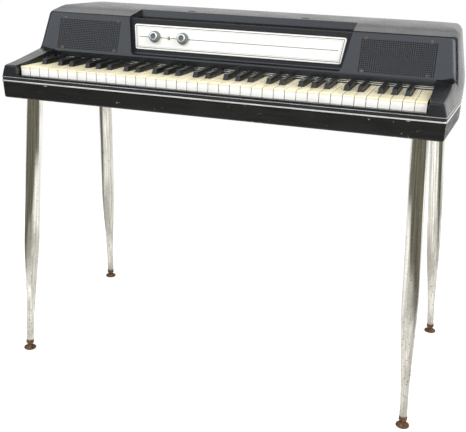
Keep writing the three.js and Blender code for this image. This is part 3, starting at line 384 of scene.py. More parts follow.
# Brushed-on black enamel over plywood: soft brush streaks, and chips down to pale ground near the edges
def blackEnamel():
    material, tree, shader, place = newMaterial("black_enamel_on_plywood", IOR=1.5, **{"Specular IOR Level": 0.4})
    e = enamelForm
    streaks = noise(tree, place, 5, 4, 0.6, stretch=(0.06, 0.06, 1))
    cloud = noise(tree, place, 80, 3)
    chips = noise(tree, place, 7, 4, 0.65)
    rise = product(tree, computed(tree, "SUBTRACT", axes(tree, place)["Z"], e["foot"]), 1 / e["height"])
    nearEdge = ramped(tree, rise, [(0.0, 0.1), (0.1, 0.03), (0.45, 0.0), (0.6, 0.035)])
    chipped = ramped(tree, computed(tree, "ADD", chips, nearEdge), [(0.71, 0.0), (0.73, 1.0)])
    for x, z, half in e["knocks"]:
        away = vectorMath(tree, "SUBTRACT", place, (x, e["frontY"], z))[0]
        away = vectorMath(tree, "MULTIPLY", away, (1000 / half, e["knockDepth"], e["knockHeight"]))[0]
        uneven = computed(tree, "ADD", vectorMath(tree, "LENGTH", away)["Value"], product(tree, chips, 0.8))
        chipped = computed(tree, "MAXIMUM", chipped, computed(tree, "LESS_THAN", uneven, 1.35))
    dark = ramped(tree, cloud, [(0.3, "0a0a09"), (0.6, "100f0e"), (0.8, "191816")])
    base = blended(tree, 0.35, dark, streaks, "OVERLAY")
    feed(tree, shader, {"Base Color": blended(tree, chipped, base, linear("8d8875")),
                        "Roughness": ramped(tree, streaks, [(0.35, 0.34), (0.65, 0.58)])})
    bump(tree, shader, computed(tree, "SUBTRACT", streaks, chipped), 0.15, 0.5)
    return material


enamel = blackEnamel()


# Chromed steel after decades: rubbing marks along it, a grey bloom and specks of rust, worst near the floor
def wornChrome(name, base, rub, bloomTone="b9b5af", bloomAt=0.55, rustAt=0.76, along=(0.05, 0.05, 1), own=None):
    material, tree, shader, place = newMaterial(name, Metallic=1)
    if own:  # the mesh carries its own place, unturned, so that the marks run along a leaning tube
        place = addNode(tree, "ShaderNodeAttribute", attribute_name=own).outputs["Vector"]
    rubbed = noise(tree, place, 2.6, 3, 0.6, stretch=along)
    bloom = noise(tree, place, 45, 4, 0.6, stretch=(1, 1, 0.2))
    pits = noise(tree, place, 4.5, 4, 0.62)
    low = ranged(tree, axes(tree, place)["Z"], 0.02, 0.5, 0.22, 0.0)
    dull = ramped(tree, computed(tree, "ADD", bloom, low), [(bloomAt, 0.0), (bloomAt + 0.2, 1.0)])
    rusted = ramped(tree, computed(tree, "ADD", pits, product(tree, low, 0.3)), [(rustAt, 0.0), (rustAt + 0.04, 1.0)])
    clean = blended(tree, ramped(tree, rubbed, [(0.36, 0.0), (0.62, 1.0)]), linear(rub), linear(base))
    if own:  # fine grey mottling where the chrome has gone blind
        mottle = ramped(tree, noise(tree, place, 4, 4, 0.7), [(0.3, "6a6a66"), (0.7, "d0d0ca")])
        clean = blended(tree, 0.35, clean, mottle, "OVERLAY")
    clouded = blended(tree, product(tree, dull, 0.8), clean, linear(bloomTone))
    feed(tree, shader, {
        "Base Color": blended(tree, rusted, clouded, linear("5b4433")),
        "Roughness": computed(tree, "ADD", ranged(tree, dull, 0.0, 1.0, 0.09, 0.34), product(tree, rusted, 0.4)),
        "Metallic": computed(tree, "SUBTRACT", 1.0, product(tree, rusted, 0.85))})
    bump(tree, shader, computed(tree, "ADD", product(tree, rubbed, 0.5), rusted), 0.05, 0.3)
    return material


legChrome = wornChrome("worn_chromed_steel", "eae8e3", "b4b2ab", "99958c", bloomAt=0.52, rustAt=0.66,
                       along=(1, 1, 0.012), own="legPlace")
trimChrome = wornChrome("chromed_trim", "f2f0ec", "d5d3cd", bloomAt=0.62, rustAt=0.78)
# A darker copy of the trim chrome: painted shade for the upper bead, which reads dimmer than the lower one
shadedTrim = wornChrome("dulled_trim", "e2e0db", "b9b7b1")


# Steel left bare under the chrome: brown rust with darker scabs, rough to the touch
def rustySteel(name, colours):
    material, tree, shader, place = newMaterial(name)
    scabs = noise(tree, place, 6, 5, 0.65)
    grit = noise(tree, place, 1.2, 2)
    tone = ramped(tree, scabs, list(zip((0.3, 0.5, 0.72), colours)))
    feed(tree, shader, {"Base Color": blended(tree, 0.3, tone, grit, "OVERLAY"),
                        "Roughness": ramped(tree, scabs, [(0.35, 0.55), (0.65, 0.85)]),
                        "Metallic": ramped(tree, scabs, [(0.35, 0.6), (0.5, 0.1)])})
    bump(tree, shader, computed(tree, "ADD", scabs, product(tree, grit, 0.4)), 0.3, 0.7)
    return material


glideRust = rustySteel("rusted_steel", ("2b1d13", "5c4028", "8b6c4b"))
screwRust = rustySteel("rusty_screw_steel", ("37302b", "62574e", "8c8379"))


# Moulded plates of the keys: cream or white acrylic, glossy, yellowed unevenly, and black phenolic caps
def keyPlastic(name, colours, roughness):
    material, tree, shader, place = newMaterial(name, IOR=1.49)
    cloud = noise(tree, place, 60, 2, 0.5, stretch=(1, 0.4, 1))
    smudges = noise(tree, place, 14, 2)
    feed(tree, shader, {"Base Color": ramped(tree, cloud, list(zip((0.3, 0.52, 0.75), colours))),
                        "Roughness": ranged(tree, smudges, 0.3, 0.7, *roughness)})
    return material


keyTopPlastic = keyPlastic("cream_acrylic", ("f6ebc6", "f7eecb", "f9f2d6"), (0.26, 0.34))
keyFrontPlastic = keyPlastic("white_acrylic", ("f5f3ed", "f9f8f4", "fbfaf7"), (0.3, 0.4))
sharpPlastic = keyPlastic("black_phenolic", ("0f0f0f", "141413", "1a1a19"), (0.26, 0.38))


# Spruce: straight grain along key sticks and rails; the sticks' darker tone is partly grime, partly painted gap shade
def rawTimber(name, colours, along=(1, 0.06, 1), ringMm=3.0):
    material, tree, shader, place = newMaterial(name, IOR=1.45)
    grain = noise(tree, place, ringMm, 4, 0.6, stretch=along)
    feed(tree, shader, {"Base Color": ramped(tree, grain, list(zip((0.3, 0.5, 0.7), colours))),
                        "Roughness": ramped(tree, grain, [(0.3, 0.62), (0.7, 0.78)])})
    bump(tree, shader, grain, 0.1, 0.4)
    return material


# The sticks' dark tones also serve as painted shade: the white plates' sides take them to darken the key gaps
spruce = rawTimber("aged_spruce", ("6e5433", "846843", "967a54"))
crossSpruce = rawTimber("spruce_across", ("9c7748", "b38e5b", "c6a372"), along=(0.06, 1, 1))


# Aluminium and zinc-plated steel: fine brushing along the length
def brushedMetal(name, colour, roughness, along=(0.03, 1, 1), brushMm=0.8):
    material, tree, shader, place = newMaterial(name, Metallic=1)
    brushing = noise(tree, place, brushMm, 3, 0.6, stretch=along)
    feed(tree, shader, {"Base Color": blended(tree, 0.25, linear(colour), brushing, "OVERLAY"),
                        "Roughness": ranged(tree, brushing, 0.3, 0.7, *roughness)})
    bump(tree, shader, brushing, 0.01, 0.3)
    return material


railAluminium = brushedMetal("rolled_aluminium", "f6f5f2", (0.4, 0.55))
barAluminium = brushedMetal("cast_aluminium", "a9abac", (0.35, 0.55))
zincSteel = brushedMetal("zinc_plated_steel", "8d9092", (0.35, 0.5))
knobRing = brushedMetal("spun_aluminium", "f8f8f6", (0.3, 0.45), along=(1, 1, 1), brushMm=0.5)


# Lacquered aluminium sheet of the control panel: off-white, satin, faint orange peel
def panelLacquer():
    material, tree, shader, place = newMaterial("white_lacquered_aluminium", IOR=1.5)
    cloud = noise(tree, place, 30, 3)
    peel = noise(tree, place, 1.6, 2)
    feed(tree, shader, {"Base Color": ramped(tree, cloud, [(0.3, "e6e6e3"), (0.7, "edede9")]),
                        "Roughness": ramped(tree, cloud, [(0.3, 0.28), (0.7, 0.38)])})
    bump(tree, shader, peel, 0.02, 0.25)
    return material


panelWhite = panelLacquer()


# A plain finish with a little clouding: smooth ABS, printing ink, moulded knobs, acrylic, paper cone, rubber
def plainFinish(name, colour, roughness, grainMm=4, depth=0.02, **surface):
    material, tree, shader, place = newMaterial(name, **surface)
    cloud = noise(tree, place, grainMm, 3)
    dark = [c * 0.82 for c in linear(colour)[:3]] + [1]
    light = [min(c * 1.15, 1) for c in linear(colour)]
    feed(tree, shader, {"Base Color": blended(tree, cloud, dark, light),
                        "Roughness": ranged(tree, cloud, 0.3, 0.7, roughness - 0.06, roughness + 0.06)})
    bump(tree, shader, cloud, depth, 0.4)
    return material


surroundSheet = plainFinish("smooth_black_abs", "1c1b1c", 0.4, 18, IOR=1.5, **{"Specular IOR Level": 0.28})
printInk = plainFinish("screen_print_ink", "5f5d5c", 0.5)
knobPlastic = plainFinish("grey_knob_plastic", "777b7a", 0.34, IOR=1.5)
knobCentre = plainFinish("slate_knob_centre", "565d60", 0.3, IOR=1.5)
amberLens = plainFinish("amber_acrylic", "a98a24", 0.14, IOR=1.49, **{"Subsurface Weight": 0.2})
conePaper = plainFinish("treated_paper", "211f1d", 0.9, 1, 0.1)
softRubber = plainFinish("black_rubber", "171717", 0.75, 2)
print("materials:", len(bpy.data.materials))

# Case and cover share one plan: its front and rear, and half-widths at the front, at wideDepth and at the rear.
# Bores are x, y and radius, the cord's x, y, z, radius, depth and sides.
caseForm = {
    "front": -17.5, "rear": 450, "frontHalf": 485.5, "wideHalf": 502.5, "rearHalf": 498.5, "wideDepth": 225,
    "easeStart": 277, "frontCorner": 4.5, "rearCorner": 35, "leastCorner": 3, "wellHalf": 449,
    "underside": -72, "shoulder": -35.1, "softShoulder": 0.6, "rimTop": -22.8, "rimInset": 4.5, "wall": 15,
    "floorTop": -60, "frontDraft": 5.5, "sideDraft": 0.5, "draftHeight": 37, "edgeRadius": 4,
    "boreHeight": -66, "boreDepth": 20, "studBore": 5.1, "socketBore": (0, 240, 12),
    "cordBore": (-300, 443, -48, 6.5, 24),
}
# Where each leg's axis meets the underside (x, y), and the middle of its foot (x, y)
legSeats = {"front_left": (-437.2, 36, -474, 17.4), "front_right": (437.2, 36, 474, 17.4),
            "rear_left": (-448.8, 404.9, -495.5, 514), "rear_right": (448.8, 404.9, 495.5, 514)}
beyond = 560  # mm from the middle, outside case and cover


def sideLine(y):  # half-width of case and cover at a depth
    c = caseForm
    if y <= c["wideDepth"]:
        return mixed(c["frontHalf"], c["wideHalf"], (y - c["front"]) / (c["wideDepth"] - c["front"]))
    along = max(y - c["easeStart"], 0) / (c["rear"] - c["rearCorner"] - c["easeStart"])
    return c["wideHalf"] - (c["wideHalf"] - c["rearHalf"]) * min(along, 1) ** 1.2


def planRing(z, frontInset, sideInset, rearInset, depths):
    c = caseForm
    corners = []
    for radius, middleY, outward, insetY, angles, steps in (
            (c["frontCorner"], c["front"] + c["frontCorner"], -1, frontInset, (-90, 0), 5),
            (c["rearCorner"], c["rear"] - c["rearCorner"], 1, rearInset, (0, 90), 10)):
        corner = []
        for nx, ny in arc(0, 0, 1, *angles, steps):
            insetX = sideInset(middleY + radius * ny)
            turn = max(radius - max(insetX, insetY), c["leastCorner"])
            corner.append((sideLine(middleY) - insetX - turn + turn * nx,
                           middleY + outward * (radius - insetY - turn) + turn * ny, z))
        corners.append(corner)
    right = corners[0] + [(sideLine(y) - sideInset(y), y, z) for y in depths] + corners[1]
    return right + [(-x, y, h) for x, y, h in reversed(right)]


def makeCaseBottom():
    c = caseForm
    depths = [10 + 30 * i for i in range(14)]
    level = lambda z, front, side, rear: planRing(z, front, lambda y: side, rear, depths)
    rings = [level(c["underside"] + v, c["frontDraft"] * (1 - v / c["draftHeight"]) + u, c["sideDraft"] + u, u)
             for u, v in arc(c["edgeRadius"], c["edgeRadius"], c["edgeRadius"], 270, 180, 5)]
    rings.append(level(c["shoulder"] - c["softShoulder"], 0.05, 0.05, 0))
    for z, inset in ((c["shoulder"], c["softShoulder"]), (c["shoulder"], c["rimInset"]), (c["rimTop"], c["rimInset"]),
                     (c["rimTop"], c["wall"]), (c["floorTop"], c["wall"])):
        rings.append(level(z, inset, inset, inset))
    case = tool(lofted(rings), "case_bottom_shell")
    for x, y, radius in [(x, y, c["studBore"]) for x, y, _, _ in legSeats.values()] + [c["socketBore"]]:
        cut(case, tool(roundTool(x, y, c["boreHeight"], radius, c["boreDepth"])))
    cut(case, tool(roundTool(*c["cordBore"], axis="Y")))
    finished(case, "piano", "paint", [enamel], replaced=["case_bottom"], smoothAngle=40, weighted=True)
    print("case bottom:", len(case.data.polygons), "faces")


makeCaseBottom()

# Top cover. Lines run from front to back: cheek and crown in (y, z), crownEnds in (x, z) seen from the front.
# A hollow is the radius between a cheek's top and the face at a distance from the middle. Edges are rounded where
# their middles lie in a soft region, given by x from the well's side outwards, y and z.
coverForm = {
    "edge": -22.5, "wall": 4, "slipBack": -4, "slipTop": -19, "lip": 8.5, "bulge": 1, "bulgeHeight": 4,
    "sideLean": 0.19, "frontLean": 0.29, "frontFaceLean": 0.06, "rearLean": 0.03, "crownRadius": 18,
    "browCorner": 9, "cornerGrows": (185, 265), "crownShare": 0.966, "cheekShare": 0.93, "cheekFade": (160, 148),
    "cheekRadius": 4.5, "cheekNose": 4, "noseHeight": 2.2, "noseLean": 6.5, "cheekEnd": 147, "cheekRise": 1.4,
    "faceFoot": 151, "faceFootHeight": 20, "faceTop": 104, "faceSlope": 0.31875, "faceRound": 14, "faceOpen": 42,
    "browRadius": 4.5, "softEdge": 1.5, "cheekBack": (151, 22.2), "cheekAhead": (117, 19.6), "rearDepth": 454,
    "wellFront": -26, "wellTop": 126, "below": -27, "crownFoot": 75, "fineStep": 0.8,
    "hollows": [(430, 2), (455, 2), (463, 4), (471, 8), (479, 13), (487, 17), (530, 17)],
    "cheek": [(-17.5, 2.2), (-13, 2.2), (48, 8.8), (120, 19.8), (137, 25.6), (147, 33)],
    "crown": [(179.1, 108.2), (215.1, 115.1), (243, 121), (289.8, 125), (329.9, 126.3), (369.9, 125.3),
              (410, 121.2), (430.2, 115.9), (440.1, 108.5), (446, 96.7), (450, 75)],
    "crownEnds": [(249.3, 126.3), (408.8, 124.9), (448.7, 123.3), (473.6, 120.4), (488.5, 113.7)],
    "backDepths": [310, 350, 390],
    "cavityHeights": [-27, -10, 4, 34, 63, 87, 96, 102, 107, 114, 120, 125, 131],
    "deskSlots": {"x": 138.5, "half": 9, "front": 254, "rear": 263, "foot": 119, "top": 130},
    "soft": {"cheek": ((-0.3, 6.6), (-beyond, 150), (-1, beyond)),
             "slip": ((-beyond, -1), (-beyond, -3), (-20, beyond)),
             "lip": ((-beyond, -1), (150.5, 151.5), (-beyond, 22)),
             "pocket": ((-beyond, -187), (148, 245), (15, 100))},
}
crownLine = [coverForm["crown"][0]] + curved(coverForm["crown"][1:], 5)
cheekLine = coverForm["cheek"][:2] + curved(coverForm["cheek"][1:], 5)[1:]


def faceAt(height):
    return coverForm["faceFoot"] + (height - coverForm["faceFootHeight"]) * coverForm["faceSlope"]


def rimDepth(height):
    return faceAt(max(height, coverForm["faceFootHeight"]))


def quarterRound(radius, depth):  # how far a quarter-round edge has turned in at a depth below its end
    depth = min(max(depth, 0), radius)
    return radius - math.sqrt(radius ** 2 - depth ** 2)


def coverSide(y, z):  # how far the cover's side stands in from the plan
    c = coverForm
    above = z - c["bulgeHeight"]
    below = min(max(-above / (c["bulgeHeight"] - c["edge"]), 0), 1)
    rear = c["bulge"] - c["sideLean"] * above if above > 0 else c["bulge"] * (1 - below ** 2)
    front = -c["frontLean"] * (z - c["edge"])
    radius = mixed(c["browCorner"], c["crownRadius"], smoothStep(y, *c["cornerGrows"]))
    crown = quarterRound(radius, radius * c["crownShare"] - max(heightOn(crownLine, y) - z, 0))
    top = crown if y > c["faceFoot"] else 0
    cheek = 0
    if y < c["cheekFade"][0]:
        cheekTop = heightOn(cheekLine, min(y, c["cheekEnd"])) + max(y - c["cheekEnd"], 0) * c["cheekRise"]
        turn = quarterRound(c["cheekRadius"], c["cheekRadius"] * c["cheekShare"] - max(cheekTop - z, 0))
        cheek = turn * smoothStep(y, *c["cheekFade"])
    edge = quarterRound(c["faceRound"], c["faceRound"] - (y - rimDepth(z))) * smoothStep(z, c["lip"], c["faceOpen"])
    return max(top, cheek) + edge - mixed(front, rear, smoothStep(y, caseForm["front"], caseForm["wideDepth"]))


def coverBody(wall, profile, heights, fine):  # rings at heights, cut to a profile and to the crown's ends
    c = coverForm
    shares = [0, 0.04, 0.1, 0.18, 0.3, 0.46, 0.7, 1] if fine else [0, 0.1, 0.35, 1]
    rings = []
    for height in heights:
        rim, behind = rimDepth(height), caseForm["easeStart"]
        depths = [mixed(-6, rim - 2, i / 24) for i in range(24)] if fine else [60]
        depths += [rim + share * c["faceRound"] for share in shares]
        depths += [mixed(rim + c["faceRound"], behind, i / 16) for i in range(1, 17)] if fine else [behind]
        rise = height - c["edge"]
        rings.append(planRing(height, c["frontFaceLean"] * rise + wall, lambda y: coverSide(y, height) + wall,
                              c["rearLean"] * rise + wall, depths + c["backDepths"]))
    body = tool(lofted(rings), "cover_body")
    cut(body, tool(extrudedX(profile, -beyond, beyond)), "INTERSECT")
    ends = [(x, z - wall) for x, z in curved(c["crownEnds"], 5)] + [(beyond, c["crownFoot"]), (beyond, -60)]
    return cut(body, tool(extrudedY(bothSides(ends), -60, 480)), "INTERSECT")


def leftOf(direction):
    return Vector((-direction.y, direction.x))


def browArc():  # the tight edge between face and crown
    c = coverForm
    corner, after = Vector(c["crown"][0]), Vector(c["crown"][1])
    rise, onward = Vector((c["faceSlope"], 1)).normalized(), (after - corner).normalized()
    start = corner - rise * c["browRadius"] * math.tan(rise.angle(onward) / 2)
    middle = start - leftOf(rise) * c["browRadius"]
    return arc(*middle, c["browRadius"], bearing(leftOf(rise)), bearing(leftOf(onward)), 6)


def inwardLine(line, distance):  # a line of (y, z) points moved into the cover
    moved = []
    for i, (y, z) in enumerate(line):
        (ya, za), (yb, zb) = line[max(i - 1, 0)], line[min(i + 1, len(line) - 1)]
        span = math.hypot(yb - ya, zb - za)
        moved.append((y + (zb - za) / span * distance, z - (yb - ya) / span * distance))
    return moved


# The pocket for the panel in the cover's face, and the tray of the music desk behind it
pocketForm = {
    "foot": 23.5, "depth": 167.8, "rake": 19.2, "top": 107.7, "ledge": 104.6, "footHalf": 249.4, "topHalf": 263.4,
    "lip": 4, "fillet": 4, "floor": 101, "wallFoot": 234, "traySoft": 7, "wallTop": 243, "corner": 10, "topLean": 5,
    "open": 131,
}


def softBend(low, bend, high):  # a rounded corner between two straight runs
    return [tuple(low.lerp(bend, t / 6).lerp(bend.lerp(high, t / 6), t / 6)) for t in range(7)]


def pocketTool(grow):  # grown by the wall, it keeps the cavity clear of pocket and tray
    p = pocketForm
    slope = p["rake"] / (p["top"] - p["foot"])
    wallAt = lambda height: p["depth"] + (height - p["foot"]) * slope
    foot, floor, soft = p["foot"] - grow, p["floor"] - grow, p["fillet"]
    trayTop = Vector((p["wallTop"] + grow, heightOn(crownLine, p["wallTop"]) - grow))
    if grow:
        across = [(p["open"], foot), (wallAt(p["foot"]) + grow, foot), (wallAt(p["floor"]) + grow, floor),
                  (p["wallFoot"] + grow, floor)]
    else:
        fillet = softBend(*[Vector(q) for q in ((wallAt(foot) - soft, foot - 0.4), (wallAt(foot), foot),
                                                (wallAt(foot + soft), foot + soft))])
        trayFoot = Vector((p["wallFoot"], floor))
        upward = (trayTop - trayFoot).normalized() * p["traySoft"]
        ledge = wallAt(p["ledge"])
        across = [(p["open"], foot - 1), *fillet, (ledge, p["ledge"]), (ledge + p["lip"], p["ledge"]),
                  (wallAt(p["top"]) + 1.5 * p["lip"], floor),
                  *softBend(trayFoot - Vector((p["traySoft"], 0)), trayFoot, trayFoot + upward)]
    across += [tuple(trayTop), (trayTop.x, p["open"]), (p["open"], p["open"])]
    side = [*arc(p["footHalf"] + grow - p["corner"], foot + p["corner"], p["corner"], -90, 0, 8),
            (p["topHalf"] + grow, p["top"]), (p["topHalf"] + grow - p["topLean"], p["open"])]
    return cut(tool(extrudedX(across, -beyond, beyond)), tool(extrudedY(bothSides(side), p["open"], caseForm["rear"])),
               "INTERSECT")


def cheekAir(radius):  # what stands open over a cheek: its straight top, a hollow of a radius, and the face
    c = coverForm
    corner, ahead = Vector((faceAt(c["cheekBack"][1]), c["cheekBack"][1])), Vector(c["cheekAhead"])
    along, rise = (ahead - corner).normalized(), Vector((c["faceSlope"], 1)).normalized()
    middle = corner + (along + rise).normalized() * radius / math.sin(along.angle(rise) / 2)
    sweep = arc(*middle, radius, bearing(leftOf(along)), bearing(-leftOf(rise)), 8)
    return [tuple(ahead), *sweep, (faceAt(c["faceOpen"]), c["faceOpen"]), (ahead.x, 60)]


def makeCover():
    c, well, step = coverForm, caseForm["wellHalf"], coverForm["fineStep"]
    heights = [c["edge"], -16, -10, -5, *[step * i for i in range(-1, 57)],  # close together up the cheeks
               *range(50, 98, 8), *[95 + step * i for i in range(46)]]  # and over the brow and the crown
    front, nose, rear, below = caseForm["front"] - 4, c["cheekNose"], c["rearDepth"], c["below"]
    noseFoot = c["noseHeight"] - nose
    noseMiddle = caseForm["front"] + c["frontFaceLean"] * (noseFoot - c["edge"]) + nose
    cover = coverBody(0, [
        (front, below), (front, noseFoot), *arc(noseMiddle, noseFoot, nose, 180, 90, 6), *cheekLine[2:],
        (rimDepth(c["faceOpen"]), c["faceOpen"]), *browArc(), *crownLine[1:], (rear, c["crownFoot"]), (rear, below)],
        heights, True)
    wall = c["wall"]
    faceWall = wall * math.hypot(1, c["faceSlope"])
    lipBack = c["faceFoot"] + faceWall
    under = inwardLine(c["crown"], wall)
    cavity = coverBody(wall, [
        (lipBack, -30), (lipBack, c["faceFootHeight"]), (faceAt(c["faceTop"] - wall) + faceWall, c["faceTop"] - wall),
        *under, (rear, under[-1][1]), (rear, -30)], c["cavityHeights"], False)
    cut(cavity, pocketTool(wall))
    cut(cover, cavity)
    for outline, half in (  # the keys' well, open at the front over the key slip, then a clean foot for the face
            ([(c["wellFront"], c["slipTop"]), (c["slipBack"], c["slipTop"]), (c["slipBack"], below),
              (lipBack + 0.3, below), (lipBack + 0.3, c["lip"]), (c["faceFoot"], c["lip"]),
              (c["faceFoot"], c["wellTop"]), (c["wellFront"], c["wellTop"])], well),
            ([(148, c["faceFootHeight"]), (c["faceFoot"], c["faceFootHeight"]), (faceAt(70), 70), (148, 70)],
             well + 0.2)):
        cut(cover, tool(extrudedX(outline, -half, half)))
    for sign in (-1, 1):  # the cheek's top runs straight back to the face, with a hollow that widens outwards
        cut(cover, tool(lofted([[(sign * x, y, z) for y, z in cheekAir(hollow)] for x, hollow in c["hollows"]])))
    for sign in (-1, 1):  # the cheek's inner wall leans outwards towards its nose
        inner, foot = sign * (well - 1), c["slipTop"] + 0.5
        cut(cover, tool(lofted([[(inner, y, foot), (sign * (well + lean), y, top), (inner, y, top)]
                                for y, lean, top in ((-30, c["noseLean"], 8), (48, 0.3, 16))])))
    return cut(cover, pocketTool(0))


def coverEdge(edge):
    x, y, z = (edge.verts[0].co + edge.verts[1].co) / 2
    place = (abs(x) - caseForm["wellHalf"], y, z)
    return any(all(low < at < high for at, (low, high) in zip(place, region)) for region in coverForm["soft"].values())


cover = makeCover()
print("cover body:", len(cover.data.polygons), "faces")
softened(cover, coverForm["softEdge"], 3, coverEdge)


# What Geometry Nodes repeat: a tree with named inputs on a carrier object, settled into a plain mesh
def repeated(name, inputs, build):
    tree = bpy.data.node_groups.new(name, "GeometryNodeTree")
    for way in ("INPUT", "OUTPUT"):
        tree.interface.new_socket("Geometry", in_out=way, socket_type="NodeSocketGeometry")
    kinds = {int: "Int", float: "Float", tuple: "Vector", bpy.types.Material: "Material", bpy.types.Object: "Object"}
    for label, value in inputs.items():
        tree.interface.new_socket(label, in_out="INPUT", socket_type="NodeSocket" + kinds[type(value)])
    entry = tree.nodes.new("NodeGroupInput").outputs
    points, copy, turns = build(tree, entry)
    placed = addNode(tree, "GeometryNodeInstanceOnPoints", {"Points": points, "Instance": copy, **turns})
    real = addNode(tree, "GeometryNodeRealizeInstances", {"Geometry": placed.outputs[0]})
    painted = addNode(tree, "GeometryNodeSetMaterial", {"Geometry": real.outputs[0], "Material": entry["Material"]})
    addNode(tree, "NodeGroupOutput", {0: painted.outputs[0]})
    carrier = linked(name, bpy.data.meshes.new(name))
    change = carrier.modifiers.new("repeat", "NODES")
    change.node_group = tree
    sockets = {s.name: s.identifier for s in tree.interface.items_tree if s.in_out == "INPUT"}
    for label, value in inputs.items():
        change[sockets[label]] = value
    return settled(carrier)


def gridPoints(tree, entry):
    return addNode(tree, "GeometryNodeMeshGrid", {
        "Size X": entry["Width"], "Size Y": entry["Height"],
        "Vertices X": entry["Columns"], "Vertices Y": entry["Rows"]}).outputs[0]


def gridOfHoles(tree, entry):
    return gridPoints(tree, entry), addNode(tree, "GeometryNodeMeshCube", {"Size": entry["Hole"]}).outputs[0], {}


def gridOfScrews(tree, entry):
    head = addNode(tree, "GeometryNodeObjectInfo", {"Object": entry["Head"]}).outputs["Geometry"]
    turns = addNode(tree, "FunctionNodeRandomValue", {"Min": (0.0, 0.0, 0.0), "Max": (0.0, 0.0, 6.283),
                                                      "Seed": entry["Seed"]}, data_type="FLOAT_VECTOR").outputs[0]
    return gridPoints(tree, entry), head, {"Rotation": turns}


def ringOfRibs(tree, entry):
    circle = addNode(tree, "GeometryNodeMeshCircle", {"Vertices": entry["Count"], "Radius": entry["Radius"]})
    rib = addNode(tree, "GeometryNodeMeshCylinder", {"Vertices": 6, "Radius": entry["Rib"], "Depth": entry["Depth"]})
    outward = addNode(tree, "GeometryNodeInputPosition").outputs[0]
    lean = addNode(tree, "FunctionNodeAlignRotationToVector", {"Vector": outward}, axis="X")
    return circle.outputs[0], rib.outputs[0], {"Rotation": lean.outputs[0]}


def leaningPlane(x, depth, height, slope):  # a plane that leans back; its z points out of the cover
    lean = math.atan(slope)
    return Matrix(((1, 0, 0, x), (0, math.sin(lean), -math.cos(lean), depth),
                   (0, math.cos(lean), math.sin(lean), height), (0, 0, 0, 1)))


def onFace(x, height):
    return leaningPlane(x, faceAt(height), height, coverForm["faceSlope"])


# Perforated faces: a grid of square holes, and a slotted screw near each of its corners
grilleForm = {
    "middle": 363.7, "height": 60, "columns": 36, "rows": 17, "size": (156.7, 67.6), "hole": 2.6, "holeDepth": 16.0,
    "screwX": 361, "screwHeight": 62.2, "screwGrid": (138.0, 70.8), "slotHalf": 0.45, "slotFoot": 0.35,
    "head": [(0, -1), (3.6, -1), (3.6, 0.2), (2.7, 0.7), (2.0, 1.1), (1.0, 1.28), (0, 1.2)],
}


def cutGrilles():
    g, d = grilleForm, coverForm["deskSlots"]
    for sign in (-1, 1):
        holes = repeated("grille_holes", {
            "Width": g["size"][0], "Height": g["size"][1], "Columns": g["columns"], "Rows": g["rows"],
            "Hole": (g["hole"], g["hole"], g["holeDepth"]), "Material": coverAbs}, gridOfHoles)
        cut(cover, placedOn(holes, onFace(sign * g["middle"], g["height"])))
    for sign in (-1, 1):  # slots that take the music desk's feet
        notch = [(d[y], d[z]) for y, z in (("front", "top"), ("front", "foot"), ("rear", "foot"), ("rear", "top"))]
        cut(cover, tool(extrudedX(notch, sign * d["x"] - d["half"], sign * d["x"] + d["half"])))


def makeScrews(side, sign):
    g = grilleForm
    head = tool(turned(g["head"], 20), "screw_head")
    cut(head, tool(extrudedZ(rectangle(4, -g["slotHalf"], g["slotHalf"]), g["slotFoot"], 2)))
    screws = repeated(f"{side}_grille_screws", {
        "Width": g["screwGrid"][0], "Height": g["screwGrid"][1], "Columns": 2, "Rows": 2, "Head": head,
        "Seed": 3 + sign, "Material": screwRust}, gridOfScrews)
    bpy.data.objects.remove(head)
    finished(placedOn(screws, onFace(sign * g["screwX"], g["screwHeight"])), "piano", "rusted_steel", [screwRust])


cutGrilles()
finished(cover, "piano", "cover", [coverAbs], replaced=["top_cover"], smoothAngle=52, weighted=True)
print("cover:", len(cover.data.polygons), "faces")
for side, sign in (("left", -1), ("right", 1)):
    makeScrews(side, sign)

# Trim band: a black strip between two chromed beads, its sections in (out, up) from the band's foot
trimForm = {"foot": -34.8, "height": 12, "face": 0.1, "proud": 1.8, "inner": -4.2, "lowBead": (0.1, 3.7),
            "highBead": (9.6, 11.7)}


def cornerPath(x, y, radius, start, steps):  # points of a quarter circle with their outward directions
    return [(x + radius * nx, y + radius * ny, nx, ny) for nx, ny in arc(0, 0, 1, start, start + 90, steps)]


def swept(section):  # a section carried round the front and both sides
    c = caseForm
    front, rear = c["front"] + c["frontCorner"], c["rear"] - c["rearCorner"]
    right = cornerPath(sideLine(front) - c["frontCorner"], front, c["frontCorner"], -90, 6)
    right += [(sideLine(y), y, 1, 0) for y in [5 + 25 * i for i in range(17)]]
    right += cornerPath(c["rearHalf"] - c["rearCorner"], rear, c["rearCorner"], 0, 10)
    path = [(-x, y, -nx, ny) for x, y, nx, ny in reversed(right)] + right
    return lofted([[(x + nx * out, y + ny * out, trimForm["foot"] + up) for out, up in section]
                   for x, y, nx, ny in path])


def beadSection(low, high):  # half round, standing proud of the strip
    face, half = trimForm["face"], (high - low) / 2
    return [(-1, low), (face, low), *oval(face, low + half, trimForm["proud"] - face, half, -75, 75, 6),
            (face, high), (-1, high)]


inner, face, height = (trimForm[key] for key in ("inner", "face", "height"))
pieceOf("trim_band_strip", swept([(inner, 0), (face, 0), (face, height), (inner, height)]), "piano", "paint",
        [stripEnamel], replaced=["trim_band"], smoothAngle=50)
# the upper bead takes the darker chrome copy as painted shade
for level, finish in (("low", trimChrome), ("high", shadedTrim)):
    pieceOf(f"trim_band_{level}_bead", swept(beadSection(*trimForm[level + "Bead"])), "piano", "bright_trim", [finish],
            smoothAngle=60)

# Key stop rail: two rolled beads before a dark backing strip
railForm = {"half": 446, "seat": 155.5, "back": 157, "foot": 1.6, "top": 12.4, "beadFeet": (1.3, 5.5), "bead": 2.5,
            "deep": 0.6, "sunk": 0.4}


def alongRail(outline):
    return extrudedX(outline, -railForm["half"], railForm["half"])


